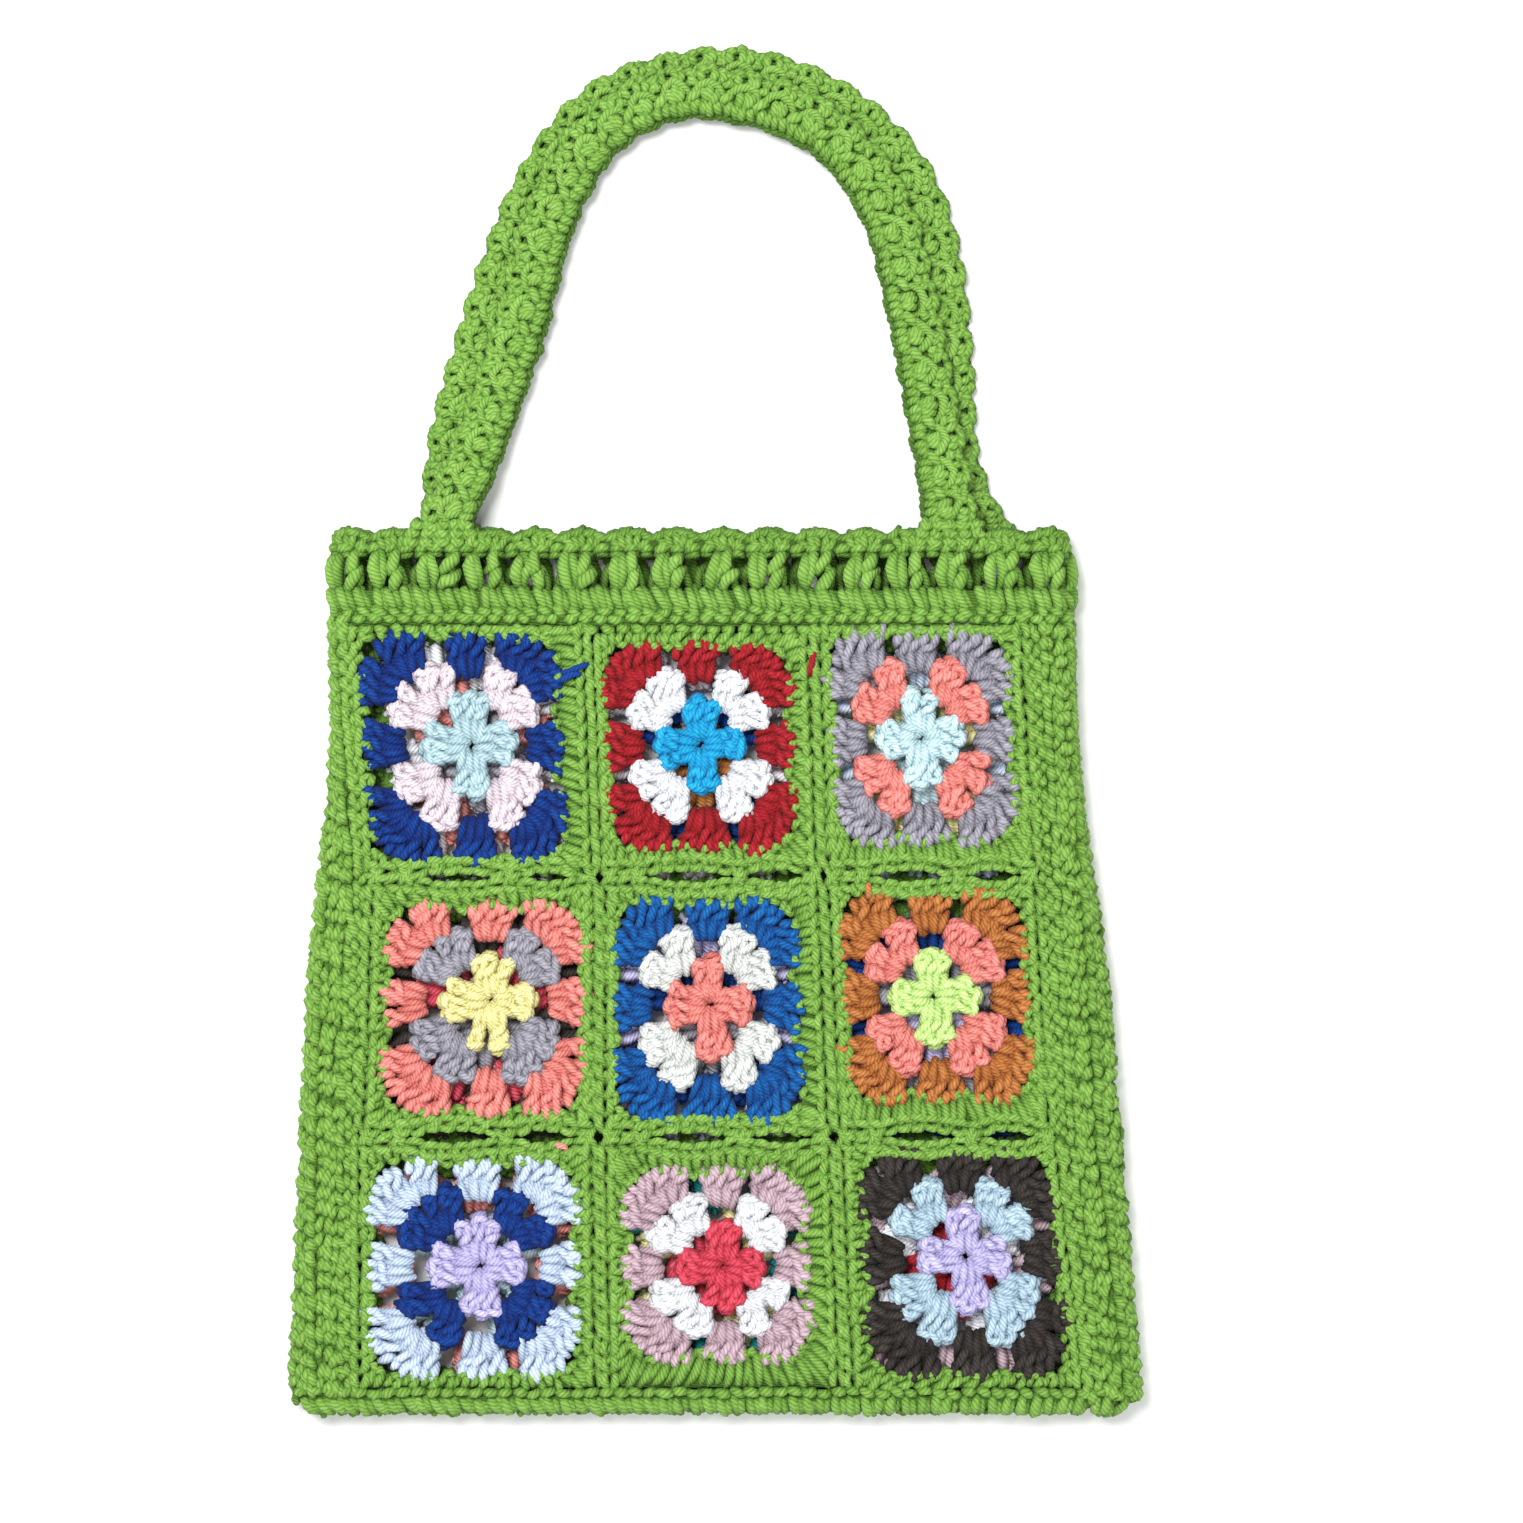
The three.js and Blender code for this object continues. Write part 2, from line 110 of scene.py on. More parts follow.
# Flowers of the front squares
# The middle of a granny square is a flower of four petals, each of three double crochets worked into
# one small ring of worsted yarn. A post shows strands below and above the one wrapped across it, and
# the chain on top of each stitch lies along the petal's edge as a front and a back loop.
YARN = 0.0014  # radius of the yarn
SQUARE_COLUMNS = ("name", "flower", "second", "third", "middle", "left", "right", "low", "high")
SQUARES = [dict(zip(SQUARE_COLUMNS, row)) for row in (
    ("top_left", "duck_egg", "pale_pink", "navy", (-0.03, 0.05), 0.98, 0.75, 0.92, 0.96),
    ("top_middle", "cerulean", "white", "brick_red", (-0.05, 0.05), 0.94, 0.80, 0.82, 0.88),
    ("top_right", "aqua", "coral", "grey", (-0.05, 0.09), 0.91, 0.84, 0.77, 0.98),
    ("middle_left", "yellow", "grey", "coral", (0.09, 0.05), 0.84, 0.90, 0.85, 0.81),
    ("middle", "coral", "off_white", "royal_blue", (-0.04, 0.01), 0.90, 0.77, 0.90, 0.84),
    ("middle_right", "lime", "coral", "caramel", (-0.04, 0.07), 0.91, 0.86, 0.75, 0.90),
    ("bottom_left", "lilac", "navy", "pale_blue", (0.02, 0.0), 0.93, 0.84, 0.88, 0.85),
    ("bottom_middle", "rose", "white", "mauve", (0.03, 0.0), 0.83, 0.75, 0.75, 0.78),
    ("bottom_right", "lilac", "dusty_blue", "charcoal", (0.10, 0.08), 0.83, 0.95, 0.88, 0.91),
)]
COLOURS = {
    "green": "7fac4b", "navy": "0a3d8c", "pale_pink": "ede0e8", "duck_egg": "bedae2",
    "white": "eff1f6", "brick_red": "a91f2a", "cerulean": "22acdf", "grey": "a5a3ae",
    "coral": "ee938a", "aqua": "ceeaf0", "yellow": "f4eda9", "royal_blue": "1061a8",
    "off_white": "e6e9e6", "caramel": "c07c42", "lime": "d4f49c", "pale_blue": "cfdff4",
    "lilac": "cbc4ee", "rose": "dd4e62", "mauve": "ccb2bc", "charcoal": "3e3834",
    "dusty_blue": "bad3e2", "teal": "12878b",
}
REACH = 0.88  # share of half a square to which the third round reaches in the tables below
FLOWER = [{"across": 0.0, "base": 0.035, "top": 0.40, "base_spread": 0.05, "top_spread": 0.11}]
FRONT = np.array((0.0, 0.0, 1.0))
BACK = np.array((0.0, 0.0, -1.0))


def node_points(node):
    """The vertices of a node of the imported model, one row each."""
    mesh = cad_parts[node].data
    points = np.empty(len(mesh.vertices) * 3)
    mesh.vertices.foreach_get("co", points)
    return points.reshape(-1, 3)


def square_corners(node):
    """The corners of a square: its vertices furthest along the four diagonals."""
    points = node_points(node)[:, :2]
    diagonals = np.array([(-1, -1), (1, -1), (1, 1), (-1, 1)])
    return points[np.argmax(points @ diagonals.T, axis=0)]


def on_square(corners, shares, z):
    """Shares of half a square, from -1 to 1, to points: the four corners mixed by their nearness."""
    u, v = (shares[..., 0] + 1) / 2, (shares[..., 1] + 1) / 2
    weights = np.stack([(1 - u) * (1 - v), u * (1 - v), u * v, (1 - u) * v], axis=-1)
    flat = weights @ corners
    return np.concatenate([flat, np.full((*flat.shape[:-1], 1), z)], axis=-1)


def fitted(shares, square):
    """Shares moved to where the rounds of a square really lie: the flower's middle is off the
    square's, and each side of the third round has a reach of its own. Straight between them."""
    low = np.array([square["left"], square["low"]])
    high = np.array([square["right"], square["high"]])
    middle = np.array(square["middle"])
    scale = np.where(shares < 0, low + middle, high - middle) / REACH
    return middle + shares * scale


def four_sides(shares):
    """The shares of one side of a square, turned by a quarter turn onto all four."""
    turns = np.array([[(1, 0), (0, 1)], [(0, -1), (1, 0)], [(-1, 0), (0, -1)], [(0, 1), (-1, 0)]])
    return np.concatenate([shares @ turn for turn in turns])


def unit(vectors):
    """Vectors divided by their own lengths."""
    return vectors / np.linalg.norm(vectors, axis=-1, keepdims=True)


SINK = 0.0008  # how far the paths of strands lie below the middle of the cloth
LEAN = {"green": 0.09, "cluster": 0.065, "chain": 0.03, "handle": 0.08}  # chance lean of stitches


def places(bases, tops, width, up, leaning=LEAN["green"]):
    """Places of stitches: a base point and three axes. Along runs from the base to the top, across
    is square to it and to the cloth's normal and as long as the stitch is wide, up is the normal.
    Across and along are each leant over by a small chance share of the other."""
    along = tops - bases
    normal = np.broadcast_to(up, along.shape)
    across = unit(np.cross(along, normal)) * np.reshape(width, (-1, 1))
    length = np.linalg.norm(along, axis=-1, keepdims=True)
    lean = chance.normal(0, leaning, (2, len(along), 1))
    leaning_across = across + lean[0] * along / length * np.reshape(width, (-1, 1))
    leaning_along = along + lean[1] * unit(across) * length
    upright = unit(np.cross(across, along))
    return np.stack([bases - upright * SINK, leaning_across, leaning_along, upright], axis=1)


def curve_through(rows, steps):
    """Points on a Catmull-Rom curve through the rows: each stretch is the cubic that leaves a row
    and reaches the next one at half the difference of their neighbours. Of the rows of an identity
    matrix it gives the share that each row has in each point."""
    rows = np.asarray(rows, float)
    padded = np.concatenate([2 * rows[:1] - rows[1:2], rows, 2 * rows[-1:] - rows[-2:-1]])
    at = np.linspace(0, len(rows) - 1, steps + 1)
    first = np.minimum(at.astype(int), len(rows) - 2)
    t = (at - first)[:, None]
    a, b, c, d = (padded[first + k] for k in range(4))
    return 0.5 * (2 * b + (c - a) * t + (2 * a - 5 * b + 4 * c - d) * t**2
                  + (3 * b - a - 3 * c + d) * t**3)


DEEP_SHADE = 0.62  # painted shade: how much darker yarn is painted in the depth of the cloth
LIT_FROM = 2.2  # radii of yarn above the middle of the cloth from which it is in full light
STRAND_SHADE = 0.035
STRAY = (1, 0.8, 3, 1.5)  # how much of a strand's unevenness goes to each value of its rows
DOME = 0.6  # length of the rounded end of a strand, in its own radii
TINY = 1e-9  # keeps a spoke from having no length


def strands(at, path, steps=5, sides=5, uneven=0.045, deep=DEEP_SHADE):
    """Strands of yarn of one shape, one at each place. A row of the path holds across and along, as
    shares of the place's axes, up, in radii of yarn, and thickness; each is moved a little by chance.
    Round the curve through the rows runs a ring of points at the yarn's radius, whose first spoke is
    the last ring's first spoke pressed square to the curve again, so that it never twists. Both ends
    are domed. Each point carries a chance tone for its strand, less a painted shade that grows with
    depth in the cloth, and a negative deep turns that into painted light; of cloth that faces the
    floor the inner side is seen too, so there the depth is counted from both."""
    path = np.asarray(path, float)
    moved = path + chance.normal(0, uneven, (len(at), *path.shape)) * STRAY
    line = np.einsum("mr,nrk->nmk", curve_through(np.eye(len(path)), steps), moved)
    offsets = line[..., :3] * (1, 1, YARN)
    centre = at[:, None, 0] + np.einsum("nmk,nkx->nmx", offsets, at[:, 1:])
    tangent = unit(np.gradient(centre, axis=1))
    spokes = []
    spoke = at[:, 3]
    for step in range(steps + 1):
        now = tangent[:, step]
        spoke = unit(spoke - now * np.sum(spoke * now, axis=-1, keepdims=True) + TINY)
        spokes.append(spoke)
    spoke = np.stack(spokes, axis=1)
    turned = np.cross(tangent, spoke)
    angle = np.arange(sides) * 2 * np.pi / sides
    radius = YARN * line[..., 3]
    ring = spoke[:, :, None] * np.cos(angle)[:, None] + turned[:, :, None] * np.sin(angle)[:, None]
    tube = centre[:, :, None] + ring * radius[:, :, None, None]
    ends = np.stack([centre[:, 0] - tangent[:, 0] * radius[:, :1] * DOME,
                     centre[:, -1] + tangent[:, -1] * radius[:, -1:] * DOME], axis=1)
    points = np.concatenate([tube.reshape(len(at), -1, 3), ends], axis=1)
    height = np.einsum("nmx,nx->nm", points - at[:, :1], at[:, 3]) / YARN
    height = np.where(at[:, 3:4, 2] < 0, np.abs(height), height)
    # painted shade, darker the deeper a point lies in the cloth; a negative deep paints light instead
    dark = deep * np.clip((LIT_FROM - height) / LIT_FROM, 0, 1)
    tone_and_painted_shading = chance.normal(0, STRAND_SHADE, (len(at), 1)) - dark
    return bundle(points, centre, sides, tone_and_painted_shading)


MAP_START = 50  # the map of a strand starts by chance within so many millimetres


def bundle(points, centre, sides, tone_and_painted_shading):
    """Faces of tubes whose points are rings and two ends: a quad between neighbours on two rings,
    and a fan at each end. The map runs along the strand in millimetres and once round it."""
    count, rings = centre.shape[:2]
    j = np.arange(sides)
    following = (j + 1) % sides
    start = (np.arange(rings - 1) * sides)[:, None]
    quads = np.stack([start + j, start + following, start + sides + following, start + sides + j], -1)
    last = (rings - 1) * sides
    near = np.stack([np.full(sides, rings * sides), following, j], -1)
    far = np.stack([np.full(sides, rings * sides + 1), last + j, last + following], -1)
    first_point = (np.arange(count) * points.shape[1])[:, None, None]
    quads = (quads.reshape(-1, 4)[None] + first_point).reshape(-1, 4)
    tris = (np.concatenate([near, far])[None] + first_point).reshape(-1, 3)
    step = np.linalg.norm(np.diff(centre, axis=1), axis=-1)
    along = np.concatenate([np.zeros((count, 1)), np.cumsum(step, axis=1)], axis=1) * MILLIMETRES
    along = along + chance.uniform(0, MAP_START, (count, 1))
    low, high = along[:, :-1, None], along[:, 1:, None]
    corners = ((low, j / sides), (low, (j + 1) / sides), (high, (j + 1) / sides), (high, j / sides))
    quad_map = np.stack([np.stack(np.broadcast_arrays(*corner), -1) for corner in corners], axis=-2)
    v = np.stack([(j + 0.5) / sides, (j + 1) / sides, j / sides], -1)
    ends = along[:, [0, -1], None, None]
    tri_map = np.stack(np.broadcast_arrays(ends, np.stack([v, v[:, [0, 2, 1]]])), -1)
    return {"points": points.reshape(-1, 3), "quads": quads, "tris": tris, "tone_and_painted_shading": tone_and_painted_shading.ravel(),
            "map": (quad_map.reshape(-1, 2), tri_map.reshape(-1, 2))}


# painted light and shade of the plies: the crests painted lighter, the grooves darker and fuller in colour
PLY = {"roundness": 0.7, "light": 0.5}
FIBRE = {"across": 5.0, "along": 0.5, "detail": 2.0, "light": 1.3, "height": 0.5}
GROOVE = {"middle": 0.35, "fullness": 0.6, "shade": 0.75}


def plied_yarn_group():
    """The look of plied yarn, from the map along and round a strand. Plies: the strand's own turn
    plus its length over the twist gives a wave with a sharp groove between round plies. Fibres: a
    noise drawn out along the plies. Out come the yarn's colour, with a painted highlight on the round
    plies and painted shade, darker and fuller, in the grooves, plus each point's chance tone and
    painted shade from its depth, and a height."""
    group = bpy.data.node_groups.new("plied_yarn", "ShaderNodeTree")
    for name, kind in (("Yarn", "NodeSocketColor"), ("Plies", "NodeSocketFloat"),
                       ("Twist", "NodeSocketFloat"), ("Contrast", "NodeSocketFloat")):
        group.interface.new_socket(name, in_out="INPUT", socket_type=kind)
    for name, kind in (("Colour", "NodeSocketColor"), ("Height", "NodeSocketFloat")):
        group.interface.new_socket(name, in_out="OUTPUT", socket_type=kind)
    nodes, links = group.nodes, group.links
    given, out = nodes.new("NodeGroupInput"), nodes.new("NodeGroupOutput")

    def maths(operation, *values):
        """The result of a math node on sockets or numbers."""
        node = nodes.new("ShaderNodeMath")
        node.operation = operation
        for socket, value in zip(node.inputs, values):
            if isinstance(value, (int, float)):
                socket.default_value = value
            else:
                links.new(value, socket)
        return node.outputs[0]

    strand = nodes.new("ShaderNodeUVMap")
    strand.uv_map = "strand"
    apart = nodes.new("ShaderNodeSeparateXYZ")
    links.new(strand.outputs[0], apart.inputs[0])
    length, turn = apart.outputs[0], apart.outputs[1]
    wave = maths("ADD", maths("MULTIPLY", turn, given.outputs["Plies"]),
                 maths("DIVIDE", length, given.outputs["Twist"]))
    ply = maths("ABSOLUTE", maths("SINE", maths("MULTIPLY", wave, math.pi)))
    ply = maths("POWER", ply, PLY["roundness"])
    # a chance tone of each strand plus painted shade and painted light from its depth in the cloth
    tone_and_painted_shading = nodes.new("ShaderNodeAttribute")
    tone_and_painted_shading.attribute_name = "tone_and_painted_shading"
    spot = nodes.new("ShaderNodeCombineXYZ")
    links.new(maths("MULTIPLY", wave, FIBRE["across"]), spot.inputs[0])
    links.new(maths("MULTIPLY", length, FIBRE["along"]), spot.inputs[1])
    fibres = nodes.new("ShaderNodeTexNoise")
    fibres.inputs["Scale"].default_value = 1.0
    fibres.inputs["Detail"].default_value = FIBRE["detail"]
    links.new(spot.outputs[0], fibres.inputs["Vector"])
    fibre = maths("SUBTRACT", fibres.outputs["Fac"], 0.5)
    light = maths("ADD", maths("MULTIPLY", ply, PLY["light"]), maths("MULTIPLY", fibre, FIBRE["light"]))
    light = maths("SUBTRACT", light, GROOVE["middle"])
    light = maths("ADD", maths("MULTIPLY", light, given.outputs["Contrast"]), tone_and_painted_shading.outputs["Fac"])
    fuller = nodes.new("ShaderNodeGamma")
    links.new(given.outputs["Yarn"], fuller.inputs["Color"])
    links.new(maths("SUBTRACT", 1.0, maths("MULTIPLY", light, GROOVE["fullness"])), fuller.inputs["Gamma"])
    shaded = nodes.new("ShaderNodeHueSaturation")
    links.new(maths("ADD", maths("MULTIPLY", light, GROOVE["shade"]), 1.0), shaded.inputs["Value"])
    links.new(fuller.outputs[0], shaded.inputs["Color"])
    links.new(shaded.outputs[0], out.inputs["Colour"])
    links.new(maths("ADD", ply, maths("MULTIPLY", fibre, FIBRE["height"])), out.inputs["Height"])
    return group


PLIED_YARN = plied_yarn_group()
PLIES = 4.0
PLY_TWIST = 1.6  # millimetres of yarn from one ply to the next
PLY_RELIEF = 0.0003


def linear(hex_colour):
    """A colour written as on a screen, to the light it stands for."""
    level = np.array([int(hex_colour[k : k + 2], 16) / 255 for k in (0, 2, 4)])
    return (*np.where(level <= 0.04045, level / 12.92, ((level + 0.055) / 1.055) ** 2.4), 1.0)


def yarn_finish(colour):
    """Matte plied yarn of one colour, made once."""
    finish = bpy.data.materials.get("yarn_" + colour)
    if finish:
        return finish
    finish = bpy.data.materials.new("yarn_" + colour)
    finish.use_nodes = True
    nodes, links = finish.node_tree.nodes, finish.node_tree.links
    shader = nodes["Principled BSDF"]
    shader.inputs["Roughness"].default_value = 0.75
    shader.inputs["Specular IOR Level"].default_value = 0.2
    shader.inputs["Sheen Weight"].default_value = 0.06
    shader.inputs["Sheen Roughness"].default_value = 0.5
    yarn = nodes.new("ShaderNodeGroup")
    yarn.node_tree = PLIED_YARN
    yarn.inputs["Yarn"].default_value = linear(COLOURS[colour])
    yarn.inputs["Plies"].default_value = PLIES
    yarn.inputs["Twist"].default_value = PLY_TWIST
    yarn.inputs["Contrast"].default_value = 0.55
    bump = nodes.new("ShaderNodeBump")
    bump.inputs["Distance"].default_value = PLY_RELIEF
    bump.inputs["Strength"].default_value = 1.0
    links.new(yarn.outputs["Colour"], shader.inputs["Base Color"])
    links.new(yarn.outputs["Height"], bump.inputs["Height"])
    links.new(bump.outputs["Normal"], shader.inputs["Normal"])
    return finish


PRESS = 0.002  # height under which the floor presses the yarn flat


def make_piece(name, bundles, colour, *nodes):
    """One piece of all the bundles, in one yarn, that stands for the named nodes. Points below the
    press height h move up to h times e to the power (z / h - 1), which never reaches the floor."""
    first = np.cumsum([0] + [len(b["points"]) for b in bundles])
    quads = np.concatenate([b["quads"] + n for b, n in zip(bundles, first)])
    tris = np.concatenate([b["tris"] + n for b, n in zip(bundles, first)])
    mesh = bpy.data.meshes.new(name)
    points = np.concatenate([b["points"] for b in bundles])
    pressed = points[:, 2] < PRESS
    points[pressed, 2] = PRESS * np.exp(points[pressed, 2] / PRESS - 1)
    mesh.from_pydata(points.tolist(), [], quads.tolist() + tris.tolist())
    mesh.shade_smooth()
    strand = mesh.uv_layers.new(name="strand")
    strand_map = np.concatenate([b["map"][k] for k in (0, 1) for b in bundles])
    strand.uv.foreach_set("vector", strand_map.astype(np.float32).ravel())
    # per point: a chance tone of each strand plus painted shade and painted light from its depth in the
    # cloth
    tone_and_painted_shading = mesh.attributes.new("tone_and_painted_shading", "FLOAT", "POINT")
    tone_and_painted_shading.data.foreach_set("value", np.concatenate([b["tone_and_painted_shading"] for b in bundles]).astype(np.float32))
    mesh.materials.append(yarn_finish(colour))
    piece = bpy.data.objects.new(name, mesh)
    scene.collection.objects.link(piece)
    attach(piece, "root")
    if nodes:
        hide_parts(*nodes)
    return piece


POST = [
    [(-0.14, 0.0, -0.1, 0.95), (-0.24, 0.28, 0.6, 1.25), (-0.20, 0.56, -0.5, 1.0)],
    [(0.12, 0.0, -0.1, 0.95), (0.20, 0.25, 0.7, 1.25), (0.26, 0.60, -0.5, 1.0)],
    [(-0.44, 0.40, -0.8, 0.9), (-0.16, 0.54, 0.9, 1.25), (0.16, 0.68, 0.9, 1.25),
     (0.44, 0.78, -0.8, 0.9)],
    [(-0.42, 0.60, -0.6, 0.9), (-0.26, 0.76, 0.8, 1.25), (-0.06, 0.96, -0.5, 0.9)],
    [(0.14, 0.70, -0.6, 0.9), (0.30, 0.82, 0.7, 1.2), (0.40, 0.98, -0.6, 0.9)],
]
TIPS = [[(-0.38, 0.60, -0.6, 1.0), (-0.28, 0.80, 1.0, 1.45), (-0.18, 0.99, -0.2, 0.95)],
        [(0.10, 0.66, -0.6, 1.0), (0.26, 0.82, 0.9, 1.4), (0.30, 0.98, -0.2, 0.9)]]
FRONT_LOOP = [(-0.52, 0.84, -0.5, 0.85), (-0.30, 0.90, 0.9, 1.15), (0.0, 0.92, 1.1, 1.2),
              (0.30, 0.90, 0.9, 1.15), (0.52, 0.84, -0.5, 0.85)]
BACK_LOOP = [(-0.44, 0.92, -1.0, 0.8), (-0.22, 1.0, 0.1, 1.05), (0.22, 1.0, 0.1, 1.05),
             (0.44, 0.92, -1.0, 0.8)]
FILLING = [(0.0, 0.03, -0.9, 1.4), (0.0, 0.5, -1.0, 2.1), (0.0, 0.88, -1.2, 1.9)]
SHORTER = 0.035  # the outer two of three stitches, as a share of half a square
TOP_SCATTER = 0.0003


def fans(corners, table, z, width, square, up=FRONT):
    """Places of the three stitches of each cluster, on all four sides. A row of the table gives, in
    shares of half a square, how far aside and how far out the base and the top of a cluster are, and
    how far the outer two stitches stand from the middle one there."""
    bases, tops = [], []
    for row in table:
        base = np.array([row["across"], row["base"]])
        top = np.array([row.get("top_across", row["across"]), row["top"]])
        axis = unit(top - base)
        aside = np.array([axis[1], -axis[0]])
        for k in (-1, 0, 1):
            bases.append(base + aside * k * row["base_spread"])
            tops.append(top + aside * k * row["top_spread"] - axis * SHORTER * abs(k))
    base, top = (on_square(corners, fitted(four_sides(np.array(ends)), square), z)
                 for ends in (bases, tops))
    top[:, :2] += chance.normal(0, TOP_SCATTER, (len(top), 2))
    return places(base, top, width, up, LEAN["cluster"])


def crochet_cluster(at, loops=True):
    """The strands of double crochets: a post of two strands below, a wrap across its middle and the
    two strands above, the filling behind them, and the two loops of the chain on top. Without the
    loops the strands above are tips, which reach up between the green stitches."""
    made = [strands(at, path) for path in (POST if loops else POST[:3] + TIPS)]
    made.append(strands(at, FILLING, steps=3))
    if loops:
        made.append(strands(at, FRONT_LOOP))
        made.append(strands(at, BACK_LOOP, steps=4))
    return made


def level_of(node):
    """The height of the middle of a node's cloth."""
    low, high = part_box(node)
    return (low.z + high.z) / 2


PETAL_WIDTH = 0.0060
PETAL_RISE = 0.0006  # above the middle of the square's cloth
for square in SQUARES:
    corners = square_corners(f"front_{square['name']}_green_round")
    node = f"front_{square['name']}_centre"
    at = fans(corners, FLOWER, level_of(node) + PETAL_RISE, PETAL_WIDTH, square)
    make_piece(f"flower_{square['name']}", crochet_cluster(at), square["flower"], node)

# Second rounds of the front squares
# Two clusters of three double crochets in each corner space of the flower. They stand as knotted
# blocks, with their chains on the outer edge.
SECOND = [{"across": 0.22 * side, "top_across": 0.31 * side, "base": 0.27, "top": 0.62,
           "base_spread": 0.06, "top_spread": 0.092} for side in (1, -1)]
BLOCK_WIDTH = 0.0060
BLOCK_RISE = 0.0003
for square in SQUARES:
    corners = square_corners(f"front_{square['name']}_green_round")
    node = f"front_{square['name']}_second_round"
    at = fans(corners, SECOND, level_of(node) + BLOCK_RISE, BLOCK_WIDTH, square)
    make_piece(f"second_round_{square['name']}", crochet_cluster(at), square["second"], node)

# Third rounds of the front squares
# One cluster in the middle of each side and two in each corner. Their chains are hidden by the
# green stitches worked over them, so their posts show as fans of long strands.
THIRD = [{"across": 0.0, "base": 0.53, "top": 0.90, "base_spread": 0.065, "top_spread": 0.14}]
THIRD += [{"across": 0.44 * side, "top_across": 0.545 * side, "base": 0.51, "top": 0.90,
           "base_spread": 0.06, "top_spread": 0.145} for side in (1, -1)]
FAN_WIDTH = 0.0074
TAIL_WIDTH = 0.003
TAILS = {  # ends of yarn left hanging out, from and to in shares of half the square
    "top_left": [((0.72, 0.61), (0.98, 0.66)), ((0.70, 0.56), (0.90, 0.63))],
    "top_middle": [((0.93, 0.60), (1.02, 0.80))],
    "middle_left": [((0.66, -1.05), (0.74, -1.10))],
    "middle_right": [((-0.60, 0.84), (-0.58, 0.94))],
}
TAIL = [(0.0, 0.0, 0.6, 0.9), (0.1, 0.3, 2.2, 1.0), (-0.1, 0.7, 2.4, 0.95), (0.0, 1.0, 2.0, 0.7)]
for square in SQUARES:
    corners = square_corners(f"front_{square['name']}_green_round")
    node = f"front_{square['name']}_third_round"
    level = level_of(node)
    made = crochet_cluster(fans(corners, THIRD, level, FAN_WIDTH, square), loops=False)
    if square["name"] in TAILS:
        start, end = on_square(corners, np.array(TAILS[square["name"]]), level).swapaxes(0, 1)
        made.append(strands(places(start, end, TAIL_WIDTH, FRONT), TAIL))
    make_piece(f"third_round_{square['name']}", made, square["third"], node)

# Green rounds of the front squares
# The last round of every square is green single crochet, worked over the tops of the third round.
# Its chain lies along the seams as a braid, and bows away from a level seam where that stays open.
# It doesn't show where the top band and the bottom row are worked into it.
LEFT_LEG = [(-0.20, 0.04, -0.4, 0.9), (-0.28, 0.34, 1.0, 1.35), (-0.20, 0.68, 1.0, 1.35),
            (-0.04, 1.0, -0.3, 0.85)]
RIGHT_LEG = [(0.24, 0.02, -0.6, 0.85), (0.22, 0.34, 0.6, 1.2), (0.32, 0.7, 0.7, 1.2),
             (0.42, 1.0, -0.3, 0.85)]
BASE_KNOT = [(-0.30, 0.26, -0.5, 0.8), (-0.14, -0.02, 1.0, 1.2), (0.08, -0.04, 1.0, 1.2),
             (0.24, 0.22, -0.5, 0.8)]
BRAID_LEFT = [(0.06, -0.3, -0.7, 0.8), (-0.24, 0.14, 1.1, 1.2), (-0.36, 0.6, 1.6, 1.25),
              (-0.20, 1.05, -0.5, 0.8)]
JOINING = [(0.0, 0.0, 0.4, 0.9), (0.0, 0.3, 1.6, 1.0), (0.0, 0.7, 1.6, 1.0), (0.0, 1.0, 0.4, 0.9)]
ROUND_FROM, ROUND_TO = REACH - 0.03, 0.94
ROUND_STITCHES = 52
GREEN_WIDTH = 0.0072  # the most that a green stitch is wide
PITCH_SHARE = 0.3  # of a stitch, over which the width of the stitches is measured
CORNER_CUT = 1.62
GAPS = (0.0, 0.36, 0.64, 1.0)  # middles of the gaps, as shares of a side
GAP_REACH, GAP_PULL, GAP_DEPTH = 0.12, 0.5, 0.3
BRAID_AT, BRAID_CLEAR = 0.94, 0.045
BRAID_LINKS = 60
BRAID_WIDTH = 0.0064
SLITS = [{"from": -0.6, "to": 0.14}, {"from": 0.34, "to": 0.86}]
SLIT_DEPTH = 0.0022
SLIT_SHOULDER = 0.25
JOINS = (-0.93, -0.66, 0.23, 0.93)  # where a level seam's sides are tied to each other
JOIN_LEAN, JOIN_REACH = 0.05, 0.075
BACKING = 0.0012  # thickness of the cloth under stitches
BACKING_MAP = (40, 3)  # millimetres of yarn along it, and turns round it
# painted shade: the backing, seen in the gaps between stitches, is painted darker as if in shadow
BACKING_SHADE = 0.6
INSIDE_PAINTED_LIGHT = 0.1  # painted light on a backing whose inner side is seen through the front


def mirrored(path):
    """A path with left and right exchanged."""
    return [(-across, *rest) for across, *rest in path]


def side_of(turn):
    """Which side of a square a turn is on, from the top one clockwise, and how far along it is, from
    -1 to 1."""
    side = np.floor(turn * 4).astype(int)
    return side, turn * 8 - side * 2 - 1


def round_shares(turn, out):
    """A point on the way round a square: turn runs from 0 to 1 round all four sides, from the left
    end of the top one, and out is the distance from the middle as a share of half a square."""
    turn, out = np.broadcast_arrays(np.asarray(turn, float) % 1, out)
    side, along = side_of(turn)
    along = along * out
    x = np.choose(side, [along, out, -along, -out])
    y = np.choose(side, [out, -along, -out, along])
    return np.stack([x, y], axis=-1)


